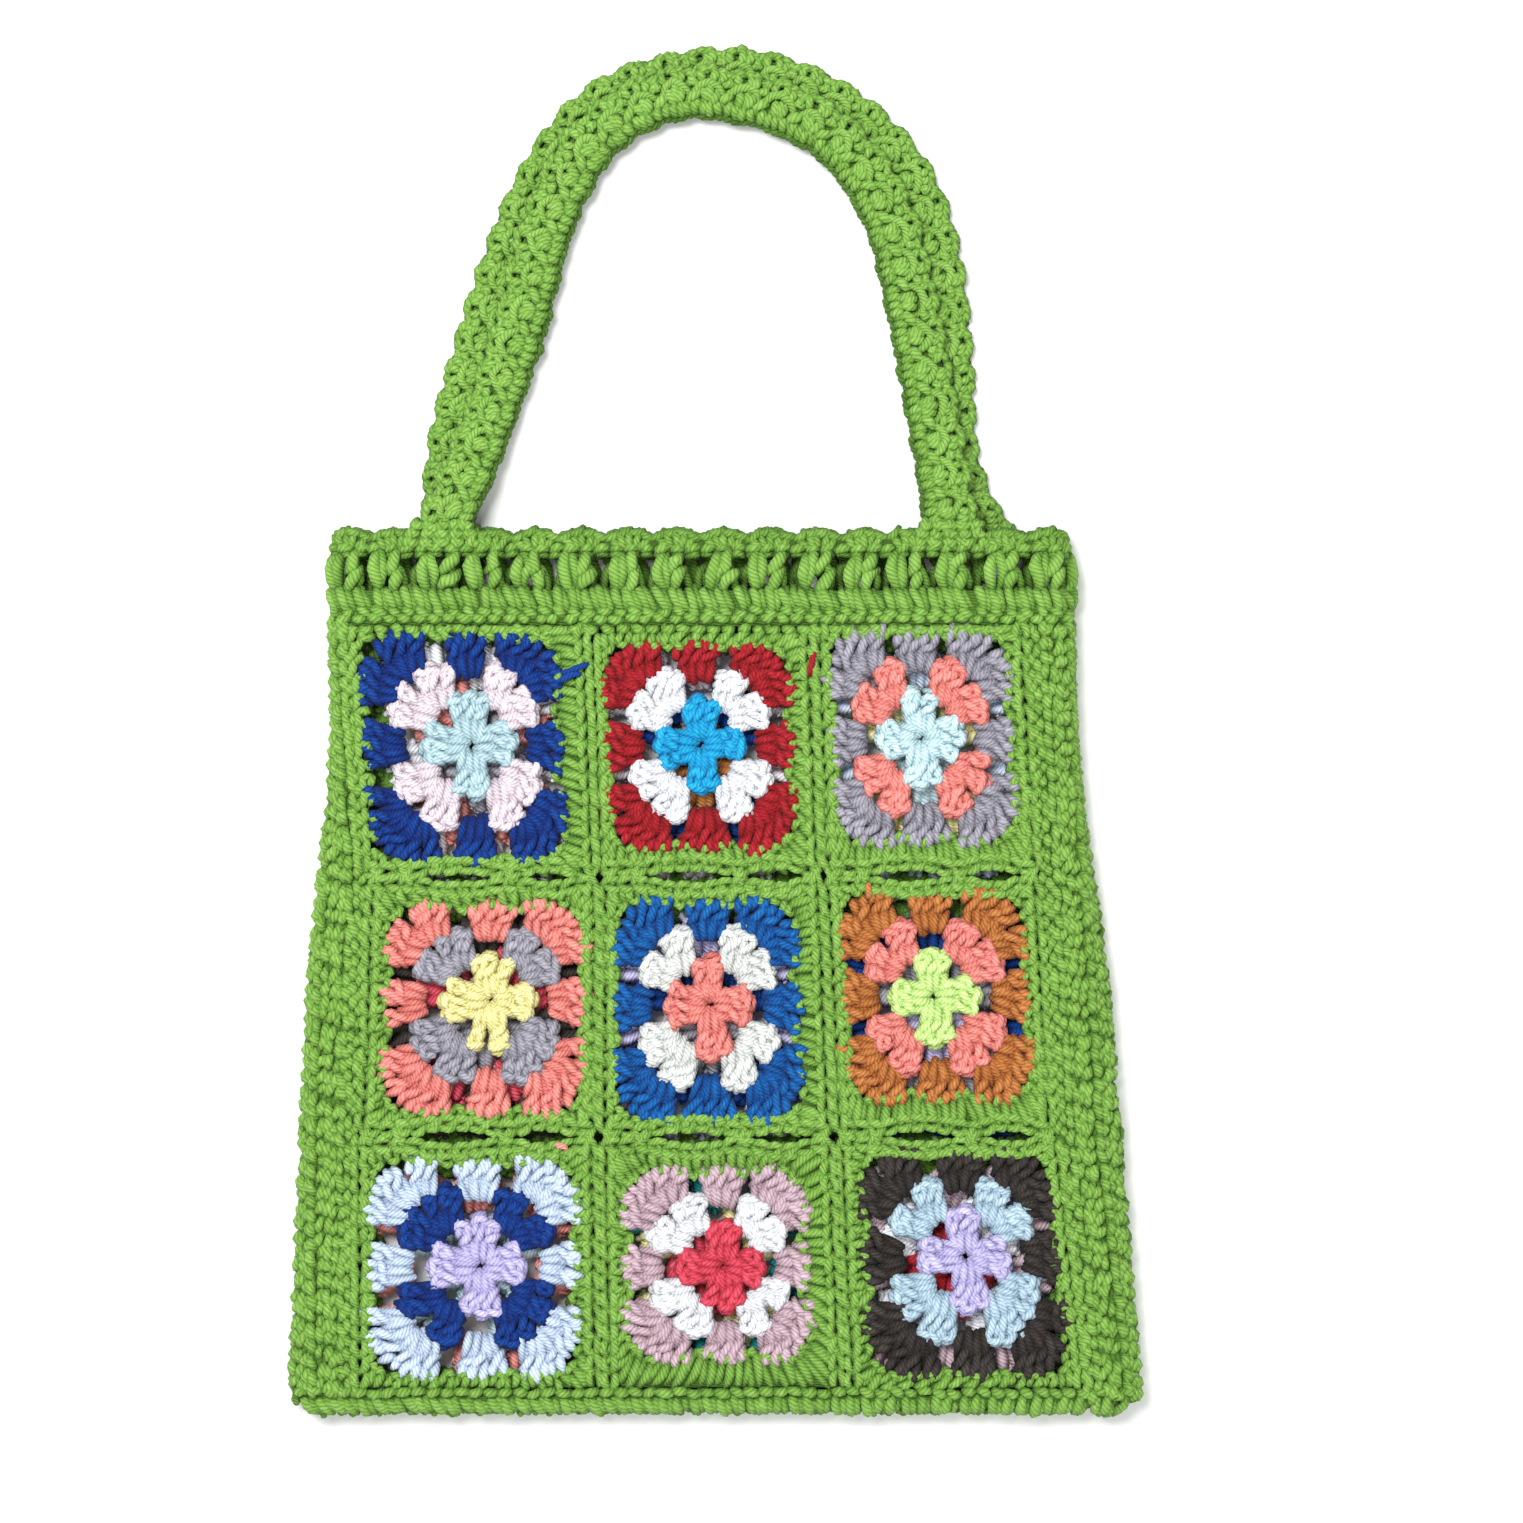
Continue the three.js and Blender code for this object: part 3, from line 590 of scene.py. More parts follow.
def open_seam(turn, level):
    """How far a braid bows inwards at the slits of a level side, in metres: nothing at the ends of
    a slit, growing evenly over its shoulders."""
    side, along = side_of(turn)
    x = np.where(side == 0, 1, -1) * along
    depth = np.zeros_like(turn)
    for slit in SLITS:
        share = (x - slit["from"]) / (slit["to"] - slit["from"])
        rise = np.clip(np.minimum(share, 1 - share) / SLIT_SHOULDER, 0, 1)
        depth = np.maximum(depth, rise * SLIT_DEPTH)
    return depth * (((side == 0) & level[0]) | ((side == 2) & level[1]))


def braid_shares(turn, square):
    """Points along the braid of a square. It keeps clear of the third round on every side."""
    shares = round_shares(turn, BRAID_AT)
    low = np.maximum(BRAID_AT, np.array((square["left"], square["low"])) + BRAID_CLEAR)
    high = np.maximum(BRAID_AT, np.array((square["right"], square["high"])) + BRAID_CLEAR)
    return shares * np.where(shares < 0, low, high) / BRAID_AT


def chain(points, width, up):
    """Places of the links of a chain along the points: each runs from one to the next."""
    return places(points[:-1], points[1:], width, up, LEAN["chain"])


# the backing is tinted with painted shade, and an inner side that shows through the front with painted
# light
def slab(surface, across, along, thickness=BACKING, tone_and_painted_shading=-BACKING_SHADE):
    """A thin backing under stitches: a grid on the surface, the same grid moved down its normals by
    the thickness, and a wall round their edges."""
    s, t = np.meshgrid(np.linspace(0, 1, along + 1), np.linspace(0, 1, across + 1), indexing="ij")
    points, normals = surface(s, t)
    rows, columns = s.shape
    both = np.concatenate([points.reshape(-1, 3), (points - normals * thickness).reshape(-1, 3)])
    index = np.arange(rows * columns).reshape(rows, columns)
    under = index + rows * columns

    def edge(top, bottom):
        """Quads of the wall between a row of points and the row under it."""
        return np.stack([top[:-1], top[1:], bottom[1:], bottom[:-1]], -1)

    faces = np.concatenate([
        np.stack([index[:-1, :-1], index[1:, :-1], index[1:, 1:], index[:-1, 1:]], -1).reshape(-1, 4),
        np.stack([under[:-1, :-1], under[:-1, 1:], under[1:, 1:], under[1:, :-1]], -1).reshape(-1, 4),
        edge(index[:, -1], under[:, -1]), edge(index[::-1, 0], under[::-1, 0]),
        edge(index[0], under[0]), edge(index[-1, ::-1], under[-1, ::-1]),
    ])
    p = both[faces[0]]
    facing = np.dot(np.cross(p[1] - p[0], p[2] - p[0]), normals[0, 0])
    if facing < 0:
        faces = faces[:, ::-1]
    grid_map = np.tile((np.stack([s, t], -1) * BACKING_MAP).reshape(-1, 2), (2, 1))
    return {"points": both, "quads": faces, "tris": np.zeros((0, 3), int),
            "tone_and_painted_shading": np.full(len(both), tone_and_painted_shading),
            "map": (grid_map[faces].reshape(-1, 2), np.zeros((0, 2)))}


def cut_corners(shares):
    """Points beyond a slanting line across each corner, moved in to it along the diagonal."""
    beyond = np.maximum(np.abs(shares).sum(axis=-1, keepdims=True) - CORNER_CUT, 0) / 2
    return shares - np.sign(shares) * beyond


def into_gaps(turn):
    """Stitches near a gap between two clusters reach into it: their bases are drawn towards its
    middle, and deeper the nearer they are."""
    gaps = (np.arange(4)[:, None] + np.array(GAPS)).ravel() / 4
    nearest = gaps[np.argmin(np.abs(turn[:, None] - gaps), axis=1)]
    near = np.clip(1 - np.abs(turn - nearest) * 4 / GAP_REACH, 0, 1)
    return turn + (nearest - turn) * GAP_PULL * near, GAP_DEPTH * near


def green_round(corners, z, level, square, up):
    """The green stitches, the backing under them and the braid round one square."""
    def surface(turn, share):
        """The cloth by turn round the square and share of the way from the third round outwards."""
        inner = fitted(cut_corners(round_shares(turn, ROUND_FROM)), square)
        outer = round_shares(turn, ROUND_TO)
        points = on_square(corners, inner + (outer - inner) * np.asarray(share)[..., None], z)
        return points, np.broadcast_to(up, points.shape)

    turn = (np.arange(ROUND_STITCHES) + 0.5) / ROUND_STITCHES
    top = surface(turn, 1.0)[0]
    turn_in, depth = into_gaps(turn)
    base = surface(turn_in, -depth)[0]
    ahead = surface(turn + PITCH_SHARE / ROUND_STITCHES, 1.0)[0]
    pitch = np.linalg.norm(ahead - top, axis=-1) / PITCH_SHARE
    at = places(base, top, np.minimum(pitch, GREEN_WIDTH), up)
    turn = np.arange(BRAID_LINKS + 1) / BRAID_LINKS
    line = on_square(corners, braid_shares(turn, square), z)
    inwards = np.sign(on_square(corners, np.zeros(2), z) - line) * (0, 1, 0)
    line = line + inwards * open_seam(turn % 1, level)[:, None]
    links = chain(line, BRAID_WIDTH, up)
    side = (turn[1:] - 0.5 / BRAID_LINKS) * 4  # from 0 to 1 on the top side, 2 to 3 on the bottom one
    links = links[((side > 1) | level[0]) & ((side < 2) | (side > 3) | level[1])]
    made = [strands(at, path, steps=4) for path in (LEFT_LEG, RIGHT_LEG, BASE_KNOT)]
    made += [strands(links, path, steps=4) for path in (BRAID_LEFT, mirrored(BRAID_LEFT))]
    if level[0]:
        join = np.array(JOINS)[:, None] * (1, 0) + (0, 1)
        for lean in (-1, 1):
            low = on_square(corners, join - (lean * JOIN_LEAN, JOIN_REACH), z)
            high = on_square(corners, join + (lean * JOIN_LEAN, JOIN_REACH), z)
            made.append(strands(places(low, high, BRAID_WIDTH, up), JOINING, steps=4))
    made.append(slab(surface, across=2, along=40, tone_and_painted_shading=-BACKING_SHADE if up[2] > 0 else INSIDE_PAINTED_LIGHT))
    return made


def level_seams(name):
    """Whether a square's top and bottom sides are seams to another square."""
    return not name.startswith("top"), not name.startswith("bottom")


for square in SQUARES:
    name = square["name"]
    node = f"front_{name}_green_round"
    make_piece(f"green_round_{name}",
               green_round(square_corners(node), level_of(node), level_seams(name), square, FRONT),
               "green", node)

# Side strips
# Rows of green single crochet run up both sides of the bag, from the squares round the fold to the
# seam with the other panel. A row by itself shows as slanting ovals, and two rows that are worked
# back and forth close up into cells of four strands.
ORIGIN = np.array((0.00024926, -0.264119842, 0.0))  # the middle of the bottom edge in the frame
BODY = {"bottom": 0.330, "mouth": 0.287, "shift": -0.006, "height": 0.337, "corner": 0.014}
WAIST = {"from": 0.46, "to": 1.03, "depth": 0.0048}  # from and to are shares of the height
BOTTOM_STRIP = 0.008
BAND_FROM = 0.303
SEAM_HEIGHT = 0.0075
FOLD_OUTSIDE = 0.0075
FOLD = 0.00525  # radius in the middle of the cloth
FOLD_LENGTH = FOLD * math.pi / 2
STITCH = 0.0056  # from one green stitch to the next
LEAST_WIDTH = 0.0012  # of a stitch where its row begins at the seam
SIDE_OVERLAP = 1.05  # width of a side stitch, in stitches
ROW_STARTS = (0.35, 0.5)  # height of the first stitch of a row, in stitches, in turn
ROW_SCATTER = 0.0005
BULGE = 0.7  # share of the way that stitches over a fold are moved out to where it bulges
SIDE_ROWS = [
    {"from": 0.0001, "to": 0.0048, "kind": "oval"},
    {"from": 0.0050, "to": 0.0152, "kind": "cell"},
    {"from": 0.0154, "to": 0.0256, "kind": "cell"},
    {"from": 0.0258, "to": 0.0310, "kind": "oval"},
]
OVAL = [[(-0.46, 0.34, -1.0, 0.8), (-0.16, 0.24, 0.9, 1.25), (0.16, 0.22, 0.9, 1.25),
         (0.46, 0.30, -1.0, 0.8)],
        [(-0.04, 0.74, -1.0, 0.8), (0.24, 0.66, 1.0, 1.35), (0.58, 0.74, 1.0, 1.35),
         (0.90, 0.84, -1.0, 0.8)]]
CELL = [[(-0.54, 0.10, -1.0, 0.8), (-0.22, 0.08, 1.1, 1.4), (0.14, 0.12, 1.1, 1.4),
         (0.48, 0.22, -1.0, 0.8)],
        [(-0.46, 0.36, -1.0, 0.8), (-0.14, 0.38, 0.9, 1.4), (0.20, 0.34, 0.9, 1.35),
         (0.52, 0.26, -1.0, 0.8)],
        [(-0.20, 0.70, -1.0, 0.8), (0.10, 0.64, 1.2, 1.45), (0.46, 0.58, 1.2, 1.45),
         (0.80, 0.56, -1.0, 0.8)],
        [(-0.04, 0.98, -1.0, 0.8), (0.24, 0.90, 1.0, 1.4), (0.58, 0.82, 1.0, 1.4),
         (0.92, 0.84, -1.0, 0.8)]]
SIDE_STITCHES = {"oval": OVAL, "cell": CELL}
PANELS = {"front": {"facing": 1, "squares": "front_{}_green_round"},
          "back": {"facing": -1, "squares": "back_{}_square"}}


def body_edge(side, y):
    """The left (-1) or right (1) edge of the body: straight from the bottom to the mouth, but for a
    shallow waist, a squared sine, with a quarter circle cut off the bottom corner."""
    share = y / BODY["height"]
    waist = np.clip((share - WAIST["from"]) / (WAIST["to"] - WAIST["from"]), 0, 1)
    width = BODY["bottom"] + (BODY["mouth"] - BODY["bottom"]) * share
    width = width - 2 * WAIST["depth"] * np.sin(waist * math.pi) ** 2
    below = 1 - np.clip(y / BODY["corner"], 0, 1)
    return BODY["shift"] * share + side * (width / 2 - BODY["corner"] * (1 - np.sqrt(1 - below**2)))


def squares_edge(panel, side, y):
    """Where the squares of a panel end: straight between the outer corners of the squares."""
    column = "left" if side < 0 else "right"
    low, high = (0, 3) if side < 0 else (1, 2)
    corners = [square_corners(PANELS[panel]["squares"].format(line + column))
               for line in ("bottom_", "middle_", "top_")]
    line = np.array([corners[0][low]] + [c[high] for c in corners]) - ORIGIN[:2]
    return np.interp(y, line[:, 1], line[:, 0])


def folded(distance, flat):
    """How far out cloth reaches that is flat at first and then goes round a quarter circle, and the
    angle that it has gone round."""
    angle = np.clip((distance - flat) / FOLD, 0, math.pi / 2)
    return np.minimum(distance, flat) + FOLD * np.sin(angle), angle


def flat_width(panel, side, y):
    """The width of the flat part of a side strip at a height."""
    return np.abs(body_edge(side, y) - squares_edge(panel, side, y)) - FOLD_OUTSIDE


def side_surface(panel, side):
    """The cloth of a side strip by height and distance from the squares: flat, then round a quarter
    circle to the seam."""
    facing = PANELS[panel]["facing"]

    def surface(y, distance):
        out, angle = folded(distance, flat_width(panel, side, y))
        x = squares_edge(panel, side, y) + side * out
        z = SEAM_HEIGHT + facing * FOLD * np.cos(angle)
        normals = np.stack([side * np.sin(angle), 0 * y, facing * np.cos(angle)], -1)
        return np.stack([x, y, z], -1) + ORIGIN, normals

    return surface


def knots(at, paths, steps=4, sides=6, uneven=0.06):
    """One strand of each path at every place."""
    return [strands(at, path, steps=steps, sides=sides, uneven=uneven) for path in paths]


def bulged(base, top, middle):
    """The ends of stitches over a fold, moved out as the middle of the fold is."""
    out = (middle - (base + top) / 2) * BULGE
    return base + out, top + out


def side_strip(panel, side):
    """The rows of one side strip, with the backing under them."""
    surface = side_surface(panel, side)
    count = round((BAND_FROM - BOTTOM_STRIP) / STITCH)
    made = []
    for number, row in enumerate(SIDE_ROWS):
        y = BOTTOM_STRIP + (np.arange(count) + ROW_STARTS[number % 2]) * STITCH
        y = y + chance.normal(0, ROW_SCATTER, count)
        y = y[flat_width(panel, side, y) + FOLD_LENGTH > row["from"] + LEAST_WIDTH]
        if not len(y):
            continue
        reach = np.minimum(row["to"], flat_width(panel, side, y) + FOLD_LENGTH)
        middle, normals = surface(y, (row["from"] + reach) / 2)
        base, top = bulged(surface(y, row["from"])[0], surface(y, reach)[0], middle)
        at = places(base, top, STITCH * SIDE_OVERLAP, normals)
        made += knots(at, SIDE_STITCHES[row["kind"]], uneven=0.08)

    def backing(s, t):
        """The cloth of the strip, from the squares to the seam."""
        y = BOTTOM_STRIP + (BAND_FROM - BOTTOM_STRIP) * s
        return surface(y, (flat_width(panel, side, y) + FOLD_LENGTH) * t)

    made.append(slab(backing, across=12, along=24))
    return made


for panel in PANELS:
    for side, word in ((-1, "left"), (1, "right")):
        make_piece(f"{panel}_{word}_rows", side_strip(panel, side), "green", f"{panel}_{word}_strip")

# Bottom strips
# One row of tall green stitches is worked into the squares of each panel. It folds down to the
# bottom seam, where it meets the row of the other panel.
TALL = [[(0.26, 0.18, -0.8, 0.9), (0.12, 0.42, 1.1, 1.5), (-0.02, 0.70, 1.1, 1.5),
         (-0.14, 0.98, -0.4, 1.0)],
        [(-0.24, 0.22, -1.0, 0.85), (-0.34, 0.46, 0.7, 1.3), (-0.44, 0.74, 0.6, 1.3),
         (-0.48, 0.96, -0.6, 0.9)],
        [(-0.46, 0.12, -0.8, 0.85), (-0.20, 0.0, 1.0, 1.35), (0.16, -0.02, 1.0, 1.35),
         (0.42, 0.08, -0.8, 0.85)]]
BOTTOM_STITCHES = 58
TALL_OVERLAP = 0.0036  # how far they reach over the squares
SEAM_CLEAR = 0.0008
END_CLEAR = 0.01  # share of the row at each end where it has no backing
LEAST_SLOPE = 0.05  # keeps the normals at the seam from having no length


def bottom_surface(panel):
    """The cloth of a bottom strip by share of its width and distance from the squares. It folds down
    to the seam as the sides do, and its ends fold too."""
    facing = PANELS[panel]["facing"]

    def surface(share, distance):
        share, distance = np.broadcast_arrays(np.asarray(share, float), distance)
        out, angle = folded(distance, BOTTOM_STRIP - FOLD_OUTSIDE)
        y = BOTTOM_STRIP - out
        left = body_edge(-1, y) + FOLD_OUTSIDE - FOLD
        right = body_edge(1, y) - FOLD_OUTSIDE + FOLD
        x = left + (right - left) * share
        end = np.clip(1 - np.minimum(x - left, right - x) / FOLD, 0, 1)
        slope = np.cos(angle) * np.sqrt(1 - end**2)
        z = SEAM_HEIGHT + facing * FOLD * slope
        normals = np.stack([np.where(share < 0.5, -1, 1) * end, -np.sin(angle),
                            facing * np.maximum(slope, LEAST_SLOPE)], -1)
        return np.stack([x, y, z], -1) + ORIGIN, unit(normals)

    return surface


for panel in PANELS:
    surface = bottom_surface(panel)
    share = (np.arange(BOTTOM_STITCHES) + 0.5) / BOTTOM_STITCHES
    length = BOTTOM_STRIP - FOLD_OUTSIDE + FOLD_LENGTH
    middle, normals = surface(share, length / 2)
    base, top = surface(share, -TALL_OVERLAP)[0], surface(share, length - SEAM_CLEAR)[0]
    row = knots(places(*bulged(base, top, middle), STITCH, normals), TALL)

    def backing(s, t):
        """The cloth of the row, kept clear of its ends."""
        return surface(END_CLEAR + (1 - 2 * END_CLEAR) * s, t * length)

    row.append(slab(backing, across=6, along=40))
    make_piece(f"{panel}_bottom_row", row, "green", f"{panel}_bottom_strip")

# Top bands
# Above the squares come two light rows of single crochet and one of leaning stitches, then pairs of
# long posts with an open eyelet between the pairs, then the rim: a row of knots and a shell of five
# strands over each eyelet.
LIGHT_KNOT = [[(-0.40, 0.62, -0.7, 0.85), (-0.14, 0.46, 0.9, 1.4), (0.14, 0.42, 0.9, 1.4),
               (0.42, 0.58, -0.7, 0.85)],
              [(-0.1, 0.9, -0.9, 0.85), (-0.24, 0.6, -0.1, 1.1), (-0.3, 0.1, -0.9, 0.8)]]
LEANING = [[(-0.44, 1.0, -0.7, 0.9), (-0.32, 0.80, 1.0, 1.4), (-0.06, 0.46, 1.1, 1.45),
            (0.18, 0.14, -0.5, 0.95)],
           [(0.04, 1.02, -0.8, 0.85), (0.16, 0.74, 0.5, 1.25), (0.40, 0.42, 0.5, 1.25),
            (0.56, 0.16, -0.9, 0.85)],
           [(-0.36, 0.34, -0.8, 0.85), (-0.14, 0.20, 1.0, 1.3), (0.12, 0.12, 1.0, 1.3),
            (0.38, 0.10, -0.8, 0.85)]]
FIRST_POST = [[(0.04, 0.0, -0.5, 1.0), (-0.12, 0.26, 0.9, 1.85), (-0.13, 0.62, 1.1, 1.9),
               (0.04, 1.0, -0.4, 1.0)],
              [(0.10, 0.02, -0.7, 1.0), (0.16, 0.36, 0.7, 1.65), (0.17, 0.7, 0.6, 1.65),
               (0.12, 1.0, -0.4, 1.0)]]
SECOND_POST = [[(-0.18, 0.0, -0.6, 1.0), (-0.10, 0.2, 1.0, 1.75), (0.08, 0.4, 1.0, 1.75),
                (0.24, 0.54, -0.6, 1.0)],
               [(-0.26, 0.42, -0.5, 1.0), (-0.1, 0.6, 1.1, 1.75), (0.06, 0.82, 1.0, 1.7),
                (0.1, 1.02, -0.5, 1.0)],
               [(0.26, 0.0, -1.2, 1.0), (0.22, 0.4, -0.2, 1.4), (-0.1, 0.8, -0.2, 1.4),
                (0.2, 1.0, -1.0, 1.0)]]
RIM_KNOT = [[(-0.46, 0.3, -0.7, 0.85), (-0.18, 0.5, 0.7, 1.35), (0.16, 0.62, 0.7, 1.35),
             (0.44, 0.5, -0.7, 0.85)],
            [(-0.4, -0.05, -0.7, 0.8), (-0.05, 0.1, 0.3, 1.15), (0.36, 0.0, -0.7, 0.8)]]
SHELL_STRAND = [(0.0, 0.0, -0.2, 0.9), (0.0, 0.35, 0.8, 1.2), (0.0, 0.75, 0.5, 1.15),
                (0.0, 1.0, -0.6, 0.9)]
EDGE_LINK = [(-0.2, -0.25, -0.9, 0.8), (0.12, 0.15, 0.3, 1.2), (0.12, 0.7, 0.4, 1.25),
             (-0.2, 1.2, -0.8, 0.85)]
SCALLOPS = 16
SCALLOP_LINKS = 4  # of the chain along its edge
ROW_STITCHES = SCALLOPS * 3 + 2
BAND_ROWS = [{"from": 0.3028, "to": 0.3090, "first": 0.3, "paths": LIGHT_KNOT},
             {"from": 0.3062, "to": 0.3176, "first": 0.6, "paths": LEANING},
             {"from": 0.2982, "to": 0.3052, "first": 0.8, "paths": LIGHT_KNOT}]
POSTS = {"from": 0.3164, "to": 0.3316, "width": 0.0116, "scatter": 0.001, "furthest": 1.02}
POST_PAIR = [{"at": 0.2, "paths": FIRST_POST}, {"at": 0.58, "paths": SECOND_POST}]
RIM = {"from": 0.3300, "to": 0.3350}
SHELL = {"base": 0.3325, "top": 0.3384, "droop": 0.00055, "base_step": 0.09, "top_step": 0.2,
         "width": 0.004}
RIM_EDGE = {"top": 0.3392, "dip": 0.0028, "width": 0.0045}
BAND_BACKINGS = [{"from": 0.3028, "to": 0.3164, "cells": 3}, {"from": 0.3315, "to": 0.3365, "cells": 2}]


def band_surface(panel):
    """The cloth of a top band by share of its length, from seam to seam, and height: a quarter
    circle at each end and flat between them."""
    facing = PANELS[panel]["facing"]

    def surface(share, y):
        share, y = np.broadcast_arrays(np.asarray(share, float), y)
        left, right = body_edge(-1, y), body_edge(1, y)
        length = right - left - 2 * FOLD_OUTSIDE + 2 * FOLD_LENGTH
        at = share * length
        first = np.clip((FOLD_LENGTH - at) / FOLD, 0, math.pi / 2)
        last = np.clip((at - length + FOLD_LENGTH) / FOLD, 0, math.pi / 2)
        middle = np.clip(at - FOLD_LENGTH, 0, length - 2 * FOLD_LENGTH)
        x = left + FOLD_OUTSIDE + middle - FOLD * np.sin(first) + FOLD * np.sin(last)
        z = SEAM_HEIGHT + facing * FOLD * np.cos(first + last)
        normals = np.stack([np.sin(last) - np.sin(first), 0 * y, facing * np.cos(first + last)], -1)
        return np.stack([x, y, z], -1) + ORIGIN, normals

    return surface


def band_row(surface, share, low, high, width):
    """Places of upright stitches at shares of the band's length."""
    base, normals = surface(share, low)
    return places(base, surface(share, high)[0], width, normals)


def top_band(panel):
    """All the rows of one top band, and the cloth under them below and above the eyelets. The posts
    of the back panel stand half a scallop further on. The posts' places and the steps of a shell's
    strands are in scallops, and a shell droops from its middle by the square of a strand's number."""
    surface = band_surface(panel)
    made = []
    for row in BAND_ROWS:
        share = (np.arange(ROW_STITCHES) + row["first"]) / ROW_STITCHES
        made += knots(band_row(surface, share, row["from"], row["to"], STITCH), row["paths"])
    shift = 0.0 if panel == "front" else 0.5
    for post in POST_PAIR:
        share = (np.arange(SCALLOPS + 1) + (post["at"] + shift) % 1) / SCALLOPS
        share = share[share < POSTS["furthest"]]
        share = np.clip(share + chance.normal(0, POSTS["scatter"], len(share)), 0, 1)
        at = band_row(surface, share, POSTS["from"], POSTS["to"], POSTS["width"])
        made += knots(at, post["paths"], steps=5)
    share = (np.arange(ROW_STITCHES) + 0.5) / ROW_STITCHES
    made += knots(band_row(surface, share, RIM["from"], RIM["to"], STITCH), RIM_KNOT)
    centre = (np.arange(SCALLOPS) + 0.5) / SCALLOPS
    for k in range(-2, 3):
        base = surface(np.clip(centre + k * SHELL["base_step"] / SCALLOPS, 0, 1), SHELL["base"])[0]
        tip = np.clip(centre + k * SHELL["top_step"] / SCALLOPS, 0, 1)
        top, normals = surface(tip, SHELL["top"] - SHELL["droop"] * k**2)
        made += knots(places(base, top, SHELL["width"], normals), [SHELL_STRAND])
    share = np.linspace(0, 1, SCALLOPS * SCALLOP_LINKS + 1)
    scallop = np.abs(np.sin(share * SCALLOPS * math.pi))
    line, normals = surface(share, RIM_EDGE["top"] - RIM_EDGE["dip"] * (1 - scallop))
    made += knots(places(line[:-1], line[1:], RIM_EDGE["width"], normals[1:]), [EDGE_LINK])
    for cloth in BAND_BACKINGS:
        def backing(s, t):
            """The cloth between two heights."""
            return surface(s, cloth["from"] + (cloth["to"] - cloth["from"]) * t)

        made.append(slab(backing, across=cloth["cells"], along=60))
    return made


for panel in PANELS:
    make_piece(f"{panel}_mouth_band", top_band(panel), "green", f"{panel}_top_band")

# Handles
# Each handle is a flat crocheted band: shells of five strands along its outer edge, a column of
# arches with a knot between them down the middle, and small scallops along the inner edge. The front
# one comes down from the front panel and lies on the back one.
HANDLE = {"start": 0.3408, "half": 0.00925, "thickness": 0.005, "pitch": 0.0135, "outer": 0.0022,
          "inner": 0.001}  # outer and inner are how far the scallops of its edges stand out
DROP = 0.060  # length over which a handle comes down to its rest
TURN = 0.030  # length over which its rows turn to lie along the rim
AHEAD = 0.001  # step over which its direction is measured
HANDLES = {  # foot and rest are the levels under its feet and under the rest of it
    "front": {"middle": -0.007, "spread": 0.195, "rise": 0.168, "foot": 0.0105, "rest": 0.0053,
              "route": [(-1, 0), (-0.86, 0.2), (-0.675, 0.52), (-0.6, 0.69), (-0.4, 0.9),
                        (-0.1, 0.995), (0.2, 0.985), (0.52, 0.905), (0.74, 0.74), (0.86, 0.48),
                        (0.945, 0.21), (1, 0)]},
    "back": {"middle": -0.0005, "spread": 0.207, "rise": 0.176, "foot": 0.0, "rest": 0.0,
             "route": [(-1, 0), (-0.98, 0.17), (-0.83, 0.49), (-0.63, 0.78), (-0.4, 0.935), (0, 1),
                       (0.3, 0.97), (0.55, 0.885), (0.73, 0.76), (0.83, 0.58), (0.87, 0.35),
                       (0.9, 0.13), (1, 0)]},
}


def centripetal(points, each=24):
    """A centripetal Catmull-Rom curve: Hermite cubics whose knots are the square roots of the
    distances apart. The points beyond the ends mirror the last but one."""
    padded = np.concatenate([2 * points[:1] - points[1:2], points, 2 * points[-1:] - points[-2:-1]])
    knot = np.sqrt(np.linalg.norm(np.diff(padded, axis=0), axis=1))[:, None]
    slope = np.diff(padded, axis=0) / knot
    wide = (padded[2:] - padded[:-2]) / (knot[1:] + knot[:-1])
    leave = (slope[:-2] - wide[:-1] + slope[1:-1]) * knot[1:-1]
    reach = (slope[1:-1] - wide[1:] + slope[2:]) * knot[1:-1]
    t = (np.arange(each) / each)[:, None, None]
    start, end = padded[1:-2], padded[2:-1]
    curve = ((2 * t**3 - 3 * t**2 + 1) * start + (t**3 - 2 * t**2 + t) * leave
             + (3 * t**2 - 2 * t**3) * end + (t**3 - t**2) * reach)
    curve = curve.transpose(1, 0, 2).reshape(-1, points.shape[1])
    return np.concatenate([curve, points[-1:]])


